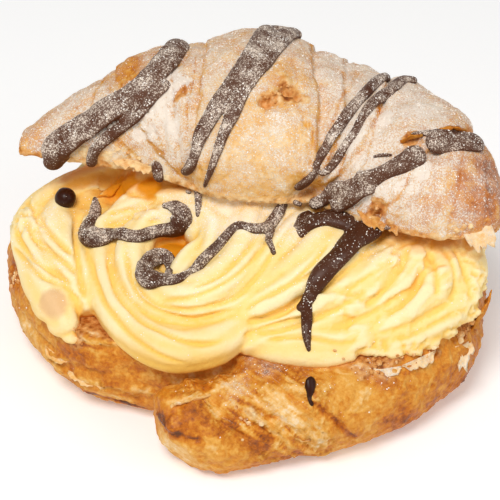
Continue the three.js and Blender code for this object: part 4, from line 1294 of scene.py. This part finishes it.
# Each leaf: the line where it is still joined, its torn edge, its thickness (mm), browning, how much
# of it is bare crumb, and sugar.
LEAVES = [
    ([(56.5, -18, 52.5), (59, -17.5, 51.5), (61.5, -17, 52), (63.5, -16, 54)],
     [(57, -20.5, 50), (59.5, -21.5, 48.8), (63, -21.5, 48), (67, -19, 51)], 0.4, 0.18, 0.3, 0.4),
    ([(60.5, -22, 20.5), (62.5, -18, 19.8), (64.5, -13, 20)],
     [(62.5, -24, 28), (64.8, -21.5, 30), (66.4, -17.5, 33)], 0.9, 0.60, 0.0, 0.1),
    ([(56, -29.5, 21.5), (58.5, -27, 20), (60.5, -23.5, 18.5)],
     [(56.8, -34, 13), (59, -31.5, 14.5), (62.3, -26, 18.5)], 0.4, 0.12, 0.2, 0.3),
    ([(27.5, -42, 26), (31, -43, 25.8), (35, -42.3, 24.6), (40.5, -40.8, 24.4)],
     [(27.5, -43.2, 24.8), (31.5, -44.4, 23.8), (36.5, -44.2, 22.8),
      (41, -42.8, 23.4)], 0.6, 0.18, 0.6, 0.5),
    ([(41, -40.5, 24.6), (45.5, -37.6, 24.6), (50, -34, 24)],
     [(41.5, -42, 23.4), (46.8, -38.9, 22.8), (51, -35.3, 22.4)], 0.6, 0.18, 0.6, 0.5),
    ([(40, -5.8, 72.3), (43, -4, 73), (46, -4.3, 73.3)],
     [(40, -7.4, 73.2), (42.8, -6.2, 74.4), (46, -6.4, 74.5)], 0.5, 0.66, 0.0, 0.1),
    ([(50, -1.8, 73), (54, 1, 72.2), (58.5, 3.5, 69.6)],
     [(50.5, -3.6, 74.2), (54.5, -1.2, 73.6), (58.8, 1, 71.3)], 0.5, 0.68, 0.0, 0.1),
    ([(29, -11.8, 54.2), (32, -13.2, 53.8), (36, -15, 53.6), (40, -16.5, 53.4)],
     [(29.5, -13.8, 53), (33, -15.8, 51.2), (37.5, -17.3, 50.4), (41, -18, 51.4)], 0.7, 0.55, 0.6, 0.1),
    ([(-38, 9, 57), (-33.5, 8.4, 56.5), (-30.5, 7.4, 56.5), (-26, 5.2, 56)],
     [(-37.5, 6.8, 56.3), (-33, 6, 55), (-30, 5.2, 54.7), (-26, 4, 54.6)], 0.7, 0.30, 0.7, 0.1),
    ([(-20, -53.2, 21.6), (-15, -52.3, 22.8), (-9.5, -50, 22.8)],
     [(-20.5, -54.3, 22.8), (-15.5, -53.6, 24.2), (-10, -51.4, 24)], 0.5, 0.28, 0.2, 0.0),
    ([(-49, -29, 12.4), (-45, -31.6, 12.4), (-41, -33.2, 12.4), (-37, -34.6, 12.8)],
     [(-49.5, -30.2, 10.8), (-45.5, -33, 10.6), (-41.2, -34.6, 10.6),
      (-37.2, -35.8, 11.2)], 0.4, 0.2, 0.0, 0.0),
    ([(-55.5, -21.5, 14.6), (-52, -25, 14.6), (-48.5, -28, 15.4)],
     [(-56.4, -22.4, 13.2), (-53, -26, 13), (-49.3, -29.2, 13.8)], 0.4, 0.22, 0.0, 0.0),
    ([(8, -55, 19.6), (13, -54.6, 16), (17, -54.8, 11.5)],
     [(7, -56.4, 18.8), (11.8, -56.4, 14.8), (15.6, -56.6, 10.6)], 0.4, 0.24, 0.0, 0.1),
]
# Crumbs: the middle of each handful, its spread, how many, their size and how brown they are.
CRUMBS = [
    ((34, -40.5, 26), 3.4, 16, 0.62, 0.62), ((41, -38.8, 25.4), 3.2, 14, 0.6, 0.55),
    ((48, -34, 25), 3, 9, 0.5, 0.3), ((57, -25.5, 23.5), 3.2, 18, 0.95, 0.55),
    ((61, -20, 21.5), 3, 16, 0.9, 0.6), ((-65.5, -1, 22), 3.2, 12, 0.7, 0.5),
    ((-45.5, -29, 24.2), 3, 8, 0.5, 0.6), ((6, 6, 77.5), 2.2, 7, 0.5, 0.5), ((11, 9, 78), 2.4, 8, 0.5, 0.5),
    ((26, -41, 26.4), 4, 8, 0.45, 0.5), ((-30, 6.5, 55.8), 5, 14, 0.5, 0.2),
    ((36, -15.5, 52.5), 3.4, 10, 0.6, 0.5), ((56, -19, 52), 4, 8, 0.6, 0.3),
    ((0, -56.5, 20), 4, 12, 0.5, 0.35),
]
CRUMB_SEED = 5


def made_of(name, corners, faces, marks):
    """A mesh of these corners (mm) and faces, with these marks."""
    mesh = bpy.data.meshes.new(name)
    mesh.from_pydata((np.array(corners) * MM).tolist(), [], faces)
    made = bpy.data.objects.new(name, mesh)
    scene.collection.objects.link(made)
    for key, values in marks.items():
        mark(made, key, np.array(values, float), None)
    return made


corners, faces = [], []
leaf_marks = {key: [] for key in CRUST_MARKS}
for draw, (joined, edge, thick, bake, bare, sugared) in enumerate(LEAVES):
    columns = max(10, round(np.linalg.norm(np.array(joined[-1], float) - joined[0]) / LEAF_STEP))
    joined, edge = along_line(joined, columns), along_line(edge, columns)
    across = np.linspace(0, 1, columns)
    ragged = 1 + 0.5 * wobble(joined, 1.3, 51 + draw, depth=3) + 0.3 * wobble(joined, 4, 71 + draw)
    ragged *= 0.3 + 0.7 * ramp(across, 0, 0.15) * ramp(1 - across, 0, 0.15)
    facing = np.cross(joined[-1] - joined[0], (edge - joined).mean(axis=0))
    facing /= np.linalg.norm(facing)
    first = len(corners)
    for side in (1, -1):
        for row in range(LEAF_ROWS):
            down = row / (LEAF_ROWS - 1)
            sheet = joined + (edge - joined) * (down * ragged)[:, None]
            curl = 0.5 * math.sin(math.pi * down) + 0.5 * wobble(sheet, 2.2, 91 + draw)
            corners += (sheet + (curl + side * thick / 2 * (1 - 0.6 * down))[:, None] * facing).tolist()
    flat = LEAF_ROWS * columns
    for row in range(LEAF_ROWS - 1):
        for column in range(columns - 1):
            a = first + row * columns + column
            faces += [(a, a + 1, a + columns + 1, a + columns),
                      (a + flat, a + flat + columns, a + flat + columns + 1, a + flat + 1)]
    rim = [first + column for column in range(columns)]
    rim += [first + row * columns + columns - 1 for row in range(1, LEAF_ROWS)]
    rim += [first + flat - 1 - column for column in range(1, columns)]
    rim += [first + row * columns for row in range(LEAF_ROWS - 2, 0, -1)]
    faces += [(b, a, a + flat, b + flat) for a, b in zip(rim, rim[1:] + rim[:1])]
    for key, value in (("bake", bake), ("torn", bare), ("sugar", sugared), ("streaks", 0.4)):
        leaf_marks[key] += [value] * (2 * flat)
    for key, axis in (("run", 0), ("cross", 2)):
        leaf_marks[key] += [corner[axis] for corner in corners[first:]]
torn_leaves = made_of("torn_leaves", corners, faces, leaf_marks)
take(torn_leaves)
bpy.ops.object.mode_set(mode="EDIT")
bpy.ops.mesh.select_all(action="SELECT")
bpy.ops.mesh.normals_make_consistent(inside=False)
bpy.ops.object.mode_set(mode="OBJECT")
bpy.ops.object.shade_smooth()
torn_leaves.data.materials.append(crust_material("leaf_crust", 0.2))


def pebble(subdivisions):
    """The corners and the faces of a small round body one millimetre in radius."""
    bpy.ops.object.select_all(action="DESELECT")
    bpy.ops.mesh.primitive_ico_sphere_add(subdivisions=subdivisions, radius=MM)
    shape = bpy.context.object
    round_corners = skin_of(shape)[0]
    round_faces = [tuple(face.vertices) for face in shape.data.polygons]
    bpy.data.objects.remove(shape)
    return round_corners, round_faces


def scattered(body, middles, ups, sizes, chance, flatness):
    """Copies of a body at these middles, each its own uneven shape, pressed flat along its up way."""
    round_corners, round_faces = body
    all_corners, all_faces = [], []
    for middle, up, size in zip(middles, ups, sizes):
        uneven = round_corners * (1 + chance.uniform(-0.22, 0.22, (len(round_corners), 1)))
        uneven = uneven * chance.uniform(0.75, 1.3, 3)
        uneven = uneven - np.outer(uneven @ up, up) * (1 - flatness)
        all_faces += [tuple(len(all_corners) + corner for corner in face) for face in round_faces]
        all_corners += (middle + uneven * size).tolist()
    return all_corners, all_faces


chance = np.random.default_rng(CRUMB_SEED)
rests_on = tree_of(crust_base, custard, crust_lid)
middles, ups, sizes, browns = [], [], [], []
for middle, spread, count, size, brown in CRUMBS:
    for _ in range(count):
        place, up, _, _ = rests_on.find_nearest(Vector(np.array(middle) + chance.normal(0, spread / 2, 3)))
        radius = size * chance.uniform(0.45, 1.25)
        middles.append(np.array(place + up * radius * 0.3))
        ups.append(np.array(up))
        sizes.append(radius)
        browns.append(brown + chance.normal(0, 0.12))
crumb_body = pebble(2)
corners, faces = scattered(crumb_body, middles, ups, sizes, chance, 0.8)
each = len(crumb_body[0])
everywhere = np.ones(len(corners))
crumbs = made_of("crumbs", corners, faces, {
    "bake": np.repeat(browns, each), "torn": everywhere, "sugar": 0.1 * everywhere,
    "run": np.array(corners)[:, 0], "cross": np.array(corners)[:, 2], "streaks": 0.1 * everywhere})
crumbs.data.materials.append(crust_material("crumb_crust", 0.0))
for piece in (torn_leaves, crumbs):
    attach(piece, "root")

# ---------------------------------------------------------------- chocolate
# Thin dark chocolate sauce, trailed over the lid and then over the open custard after it was
# filled, so that it lies in flattened strands with rounded drops at their ends. The sieved sugar
# came last and lies on it in white specks.

# Its grain (mm) and rounding as one body, the step along a strand (mm), the sides of its rod, and how
# often its line is eased where it lies.
CHOCOLATE_GRAIN = 0.36
CHOCOLATE_SMOOTHING = 4
CHOCOLATE_STEP = 0.7
CHOCOLATE_SIDES = 14
CHOCOLATE_EASING = 10
# Where the rings of a strand's rounded end stand, as shares of its half width.
CHOCOLATE_CLOSING = (0.35, 0.65, 0.88, 0.97)
DUST_ON_CHOCOLATE = (242, 225, 207)

# Each strand: its points (x, y, z) and its half width there.
LID_STRANDS = [
    [(-19.5, 35, 75.5, 2.7), (-21.5, 26.5, 78, 2.86), (-24, 20.5, 78, 2.86), (-27.5, 16, 76, 2.99),
     (-32, 14, 73, 2.99), (-37.5, 13, 69.5, 3.12), (-43, 11.5, 66.5, 3.12), (-48, 11, 62.5, 3.26),
     (-52.5, 11, 58, 3.52), (-53.2, 10, 54, 2.42)],
    [(-22.5, 15, 76.5, 1.34), (-26.5, 11.5, 73.5, 1.34), (-30, 9.5, 70.5, 1.34), (-34, 9.5, 66.5, 1.34),
     (-38.5, 9, 63, 1.34), (-41.5, 9.5, 59.5, 1.34), (-43, 10, 55, 1.23)],
    [(5.5, 39.5, 78, 1.96), (2.5, 25, 82, 2.24), (-0.5, 16.5, 82, 2.24), (-3.5, 10.5, 80, 2.1),
     (-7, 5.5, 78, 1.96), (-9.5, 2, 75, 1.82), (-12, -0.5, 71.5, 1.68), (-14, -2.5, 68, 1.4),
     (-15.5, -3, 63, 1.26), (-17, -1, 58, 0.98)],
    [(12.5, 42, 75.5, 2.1), (8.5, 30, 80.5, 2.24), (5, 19.5, 82, 2.1), (2, 13.5, 81.5, 1.96),
     (-0.5, 9, 80, 1.82), (-2.5, 5, 78, 1.68), (-4, 1.5, 76, 1.54), (-5.5, -0.5, 73.5, 1.26),
     (-7, -2.5, 70.5, 1.12), (-8.5, -4.5, 66.5, 0.84), (-10, -5, 62, 0.63), (-11.5, -4, 56.5, 0.35)],
    [(6, 40, 78, 1.7), (9.5, 42, 77.3, 1.9), (13, 41, 76, 1.7)],
    [(39, 27, 72, 1.1), (35.8, 21.5, 73, 1.35), (31.9, 13, 74.7, 1.35), (27.7, 7, 74, 1.3),
     (23.6, 1, 71.5, 1.2),
     (20.8, -2.5, 68.5, 1.15), (17.5, -4.5, 62.8, 1.15), (15.5, -5, 59, 1.3), (14.5, -5.3, 56.5, 1.4)],
    [(46, 27, 71, 1.1), (43, 25, 71.8, 1.4), (39.9, 18.7, 73, 1.4), (37, 13.8, 74, 1.35),
     (34.1, 9.5, 74.2, 1.2),
     (31.8, 5.5, 73.8, 1.05), (29.4, 1.6, 72.4, 0.95), (27.4, -1.3, 71, 0.95), (25.2, -3.6, 68.5, 0.9),
     (23.5, -4.9, 66, 0.9), (22.2, -5.4, 63.4, 0.85), (20, -6, 62, 0.7)],
    [(59.8, -0.5, 67.8, 2.75), (57, -2.2, 69, 2.85), (54, -2.8, 69.8, 2.85), (51.2, -4, 70.8, 2.8),
     (49.4, -4.7, 71.4, 2.7)],
    [(48, -3.4, 73, 0.6), (45.5, -3.8, 73, 0.5), (43.8, -3.5, 73, 0.4)],
    [(43.2, -9.6, 69.8, 2.6), (41.5, -10.2, 68.6, 2.9), (39, -10.5, 67.4, 2.65), (36.5, -10.8, 66, 2.5),
     (33.5, -10.8, 64.3, 2.8), (30, -10.2, 61, 3.1), (27, -9.7, 57.5, 2.7), (24.5, -8.5, 53.5, 1.8)],
    [(31, -10, 62.5, 1.6), (27.5, -9.6, 60.3, 1.8), (24.5, -9.2, 58.6, 1.7), (21.5, -8.6, 56.8, 1.5),
     (19.3, -7.4, 54.5, 1.4), (18, -6.2, 52, 1.3)],
    [(33, -8, 69, 0.2), (35.5, -8, 69.5, 0.3), (37.5, -9, 70, 0.2)],
    [(-25, 4.5, 56, 1.4), (-24.5, 4.5, 53.5, 1.54)],
    [(13, -5.5, 52, 0.56), (14, -5.5, 51.5, 0.56)],
    [(36.5, -15.5, 51.5, 0.42), (38, -16, 51, 0.42)],
]
CUSTARD_STRANDS = [
    [(-42.5, 10.5, 41, 0.42), (-42.5, 7.5, 40, 1.1), (-42.5, 3, 39.5, 1.4), (-44, 1, 38, 1.9),
     (-44, -1, 37.5, 2.2), (-41.5, -4.5, 38.5, 2.1), (-38, -2.5, 38, 1.5), (-34.5, -6, 41.5, 1.3),
     (-30.5, -9, 42.5, 1.3), (-26.5, -6, 42, 1.25), (-23.5, -5, 42.5, 1.4), (-20.5, -3.5, 42, 2.0),
     (-18, -3.5, 44, 2.2), (-17.8, -3, 46, 2.0), (-19.5, -1, 47, 1.4), (-22.5, -0.5, 47, 0.6)],
    [(-13.5, 1.5, 50.5, 0.75), (-13.3, -1.5, 48.5, 0.6), (-13.5, -4, 46.5, 0.35)],
    [(-16.5, 2, 50, 0.3), (-15.8, 1.6, 50, 0.3)],
    [(-28, -18, 39.5, 1.4), (-26, -12.5, 38, 1.75), (-23.5, -10.5, 37.5, 1.7),
     (-21.5, -11.5, 37.5, 1.3), (-20.8, -14.5, 36.5, 0.95), (-20.5, -20.5, 39, 0.8)],
    [(-28, -18, 39.5, 1.5), (-27.5, -21.5, 39, 1.95), (-25.5, -24, 39.5, 2.2), (-22.5, -25, 40, 1.6),
     (-19.5, -26, 40.5, 1.3), (-17, -26, 42, 1.2), (-14, -18.5, 39, 1.15), (-11, -17, 42, 1.15),
     (-7.5, -15, 44, 1.25), (-5, -12.5, 45.5, 1.15), (-2.5, -10.5, 47.5, 1.0), (-1, -11.5, 48.5, 0.8),
     (1, -12, 47.5, 1.0), (4.5, -10, 46.5, 1.0), (7, -6.5, 46.5, 1.1), (8.5, -4.5, 48, 1.1),
     (9.5, -3, 49.5, 0.9)],
    [(6, -8.5, 45.5, 0.84), (6, -12.5, 44.5, 0.7), (7, -18, 44.5, 0.42)],
    [(15.5, -9.5, 47, 3.08), (19.5, -10.5, 49.5, 1.82), (22.5, -10, 50, 1.96), (25.5, -10.5, 49.5, 2.38),
     (29, -11, 48.5, 2.8), (32, -12.5, 48.5, 3.36), (30, -15.5, 48, 3.08), (27, -18.5, 47, 2.8),
     (25, -21.5, 46, 2.38), (22, -24, 45, 2.1), (20, -26, 44, 1.96), (18, -28, 42.5, 1.82),
     (17, -29, 40, 1.4), (16, -31, 38.5, 1.26), (14, -32.5, 37.5, 0.7)],
    [(15.5, -32.5, 38, 0.98), (15.5, -34.5, 34.5, 0.98), (15.5, -38, 31.5, 0.7), (16, -41, 30, 0.28)],
]
BASE_DROP = [
    [(16, -50.2, 26.4, 1.35), (16, -51.4, 25.8, 1.15), (16.05, -52.3, 24.8, 0.7), (16.1, -53, 23.3, 0.45),
     (16.1, -53.3, 21.8, 0.45)],
]
BALL_PLACE = (-51, 10, 42)
BALL_RADIUS = 3.0


def smooth_run(points, step):
    """A smooth run through these points (x, y, z, half width), in short steps."""
    points = np.array(points, float)
    ends = np.vstack([2 * points[0] - points[1], points, 2 * points[-1] - points[-2]])
    run = []
    for a, b, c, d in zip(ends, ends[1:], ends[2:], ends[3:]):
        for t in np.arange(0, 1, step / max(np.linalg.norm((c - b)[:3]), step)):
            run.append(0.5 * (2 * b + (c - a) * t + (2 * a - 5 * b + 4 * c - d) * t ** 2
                              + (3 * b - a - 3 * c + d) * t ** 3))
    run.append(points[-1])
    return np.array(run)


def trail(name, strands, ground, swell, draw):
    """Strands of sauce that lie on the ground: flattened rods, melted into one body."""
    corners, faces = [], []
    for points in strands:
        run = smooth_run(points, CHOCOLATE_STEP)
        widths = (run[:, 3] * swell + 0.2) * (1 + 0.09 * wobble(run[:, :3], 5.5, draw))
        rests = [ground.find_nearest(Vector(point)) for point in run[:, :3]]
        spots = np.array([rest[0] for rest in rests])
        ups = np.array([rest[1] for rest in rests])
        for _ in range(CHOCOLATE_EASING):
            spots[1:-1] = (spots[:-2] + 2 * spots[1:-1] + spots[2:]) / 4
            ups[1:-1] = ups[:-2] + 2 * ups[1:-1] + ups[2:]
            ups /= np.linalg.norm(ups, axis=1)[:, None]
        heads = np.gradient(spots, axis=0)
        heads /= np.linalg.norm(heads, axis=1)[:, None] + 1e-9
        # Rounded ends: the rod closes down over its last half width.
        strand = [spots, ups, heads, widths]
        for end, way in ((0, -1), (-1, 1)):
            spot, up, head, width = (part[end] for part in strand)
            cap = zip(*((spot + way * head * width * turn, up, head, width * math.sqrt(1 - turn ** 2))
                        for turn in CHOCOLATE_CLOSING[::way]))
            strand = [np.concatenate((part, np.array(added))[::way]) for part, added in zip(strand, cap)]
        spots, ups, heads, widths = strand
        sides = np.cross(heads, ups)
        sides /= np.linalg.norm(sides, axis=1)[:, None] + 1e-9
        first = len(corners)
        for spot, up, side, width in zip(spots, ups, sides, widths):
            thick = min(width, 0.42 * width + 0.45)
            for k in range(CHOCOLATE_SIDES):
                angle = 2 * math.pi * k / CHOCOLATE_SIDES
                corners.append(spot + side * width * math.cos(angle)
                               + up * thick * (math.sin(angle) + 0.35))
        rings = len(spots)
        for ring in range(rings - 1):
            for k in range(CHOCOLATE_SIDES):
                here, there = first + ring * CHOCOLATE_SIDES, first + (ring + 1) * CHOCOLATE_SIDES
                turn = (k + 1) % CHOCOLATE_SIDES
                faces.append((here + k, here + turn, there + turn, there + k))
        faces.append(tuple(first + k for k in reversed(range(CHOCOLATE_SIDES))))
        last = first + (rings - 1) * CHOCOLATE_SIDES
        faces.append(tuple(last + k for k in range(CHOCOLATE_SIDES)))
    made = made_of(name, corners, faces, {})
    knead(made, CHOCOLATE_GRAIN, CHOCOLATE_SMOOTHING)
    shade_round(made)
    return made


def chocolate_finish(name, sugar, colours, roughness, clean_from=None):
    """Dark chocolate with sieved sugar on its upper side, little of it to the right of clean_from (m)."""
    finish, shader, w, where = new_finish(name)
    patches = w.maths("MULTIPLY_ADD", w.noise(where, 260, 2), 0.9, sugar - 0.45)
    amount = w.times(w.between(w.upward(), -0.7, 0.3), patches, clamp=True)
    if clean_from is not None:
        across = w.node("ShaderNodeSeparateXYZ", {0: where}).outputs["X"]
        left = w.between(across, clean_from + 0.003, clean_from)
        amount = w.times(amount, w.plus(w.times(left, 0.65), 0.35))
    dust = w.dust(where, amount)
    cover = w.plus(w.times(dust.outputs["Grains"], 0.48), w.times(dust.outputs["Cover"], 0.36))
    dark, pale = (srgb(*colour) for colour in colours)
    tint = w.mix(cover, w.mix(w.noise(where, 400), dark, pale), srgb(*DUST_ON_CHOCOLATE))
    relief = w.plus(w.times(dust.outputs["Height"], 0.8), w.times(w.noise(where, 900), 0.2))
    w.join(shader, {"Base Color": tint, "Roughness": w.plus(w.times(cover, 0.4), roughness),
                    "Specular IOR Level": 0.2, "Normal": w.bump(relief, 0.4, 0.0005)})
    return finish


sugared_sauce = chocolate_finish("chocolate_sauce_sugared", 0.50, ((68, 33, 13), (94, 50, 25)), 0.46)
custard_sauce = chocolate_finish("chocolate_sauce", 0.50, ((60, 27, 12), (84, 46, 24)), 0.42,
                                 clean_from=0.012)
bare_chocolate = chocolate_finish("chocolate_bare", 0.0, ((42, 15, 4), (58, 24, 9)), 0.32)

bpy.ops.object.select_all(action="DESELECT")
bpy.ops.mesh.primitive_uv_sphere_add(segments=48, ring_count=32, radius=BALL_RADIUS * MM,
                                     location=Vector(BALL_PLACE) * MM)
chocolate_ball = bpy.context.object
chocolate_ball.name = chocolate_ball.data.name = "chocolate_ball"
bpy.ops.object.transform_apply(location=True, rotation=True, scale=True)
skin, out = skin_of(chocolate_ball)
set_skin(chocolate_ball, skin + (0.08 * wobble(skin, 2, 24))[:, None] * out)
bpy.ops.object.shade_smooth()

drizzle_lid = trail("drizzle_lid", LID_STRANDS, tree_of(crust_lid), 1.18, 21)
drizzle_custard = trail("drizzle_custard", CUSTARD_STRANDS, tree_of(custard), 1.38, 22)
drizzle_drop = trail("drizzle_drop", BASE_DROP, tree_of(crust_base), 1.12, 23)
for drizzle, finish in ((drizzle_lid, sugared_sauce), (drizzle_custard, custard_sauce),
                        (drizzle_drop, bare_chocolate), (chocolate_ball, bare_chocolate)):
    drizzle.data.materials.append(finish)
    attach(drizzle, "root")

# ---------------------------------------------------------------- sugar
# Icing sugar sieved over the whole pastry at the very end. Most of it is dust too fine to see apart;
# these are the small lumps of it that stand out as white grains.

GRAIN_SEED = 11
GRAIN_SIZE = 0.13
GRAIN_COLOURS = [(250, 240, 228), (255, 251, 245)]
# On each piece: how many grains.
GRAINS = [(crust_lid, 4300), (drizzle_lid, 1300), (drizzle_custard, 600), (custard, 1500),
          (crust_base, 700)]

chance = np.random.default_rng(GRAIN_SEED)
middles, ups = [], []
for piece, count in GRAINS:
    spots = np.array([polygon.center[:] for polygon in piece.data.polygons]) / MM
    ways = np.array([polygon.normal[:] for polygon in piece.data.polygons])
    areas = np.array([polygon.area for polygon in piece.data.polygons])
    corner = np.array([polygon.vertices[0] for polygon in piece.data.polygons])
    amount = np.ones(len(spots))
    if "sugar" in piece.data.attributes:
        amount = np.empty(len(piece.data.vertices))
        piece.data.attributes["sugar"].data.foreach_get("value", amount)
        amount = amount[corner]
    clumps = 0.15 + ramp(wobble(spots, 3.5, 61, depth=3), -0.1, 0.35)
    weight = areas * amount * clumps * ramp(ways[:, 2], -0.1, 0.6)
    chosen = chance.choice(len(spots), count, p=weight / weight.sum())
    middles.append(spots[chosen] + chance.uniform(-0.3, 0.3, (count, 3)) * (1 - np.abs(ways[chosen])))
    ups.append(ways[chosen])
middles, ups = np.concatenate(middles), np.concatenate(ups)
sizes = GRAIN_SIZE * chance.uniform(0.5, 1.6, len(middles)) ** 1.3
corners, faces = scattered(pebble(1), middles, ups, sizes, chance, 0.8)
sugar_grains = made_of("sugar_grains", corners, faces, {})
icing_sugar, shader, w, where = new_finish("icing_sugar")
tone = w.mix(w.noise(where, 900), *(srgb(*colour) for colour in GRAIN_COLOURS))
w.join(shader, {"Base Color": tone, "Roughness": 0.6})
sugar_grains.data.materials.append(icing_sugar)
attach(sugar_grains, "root")
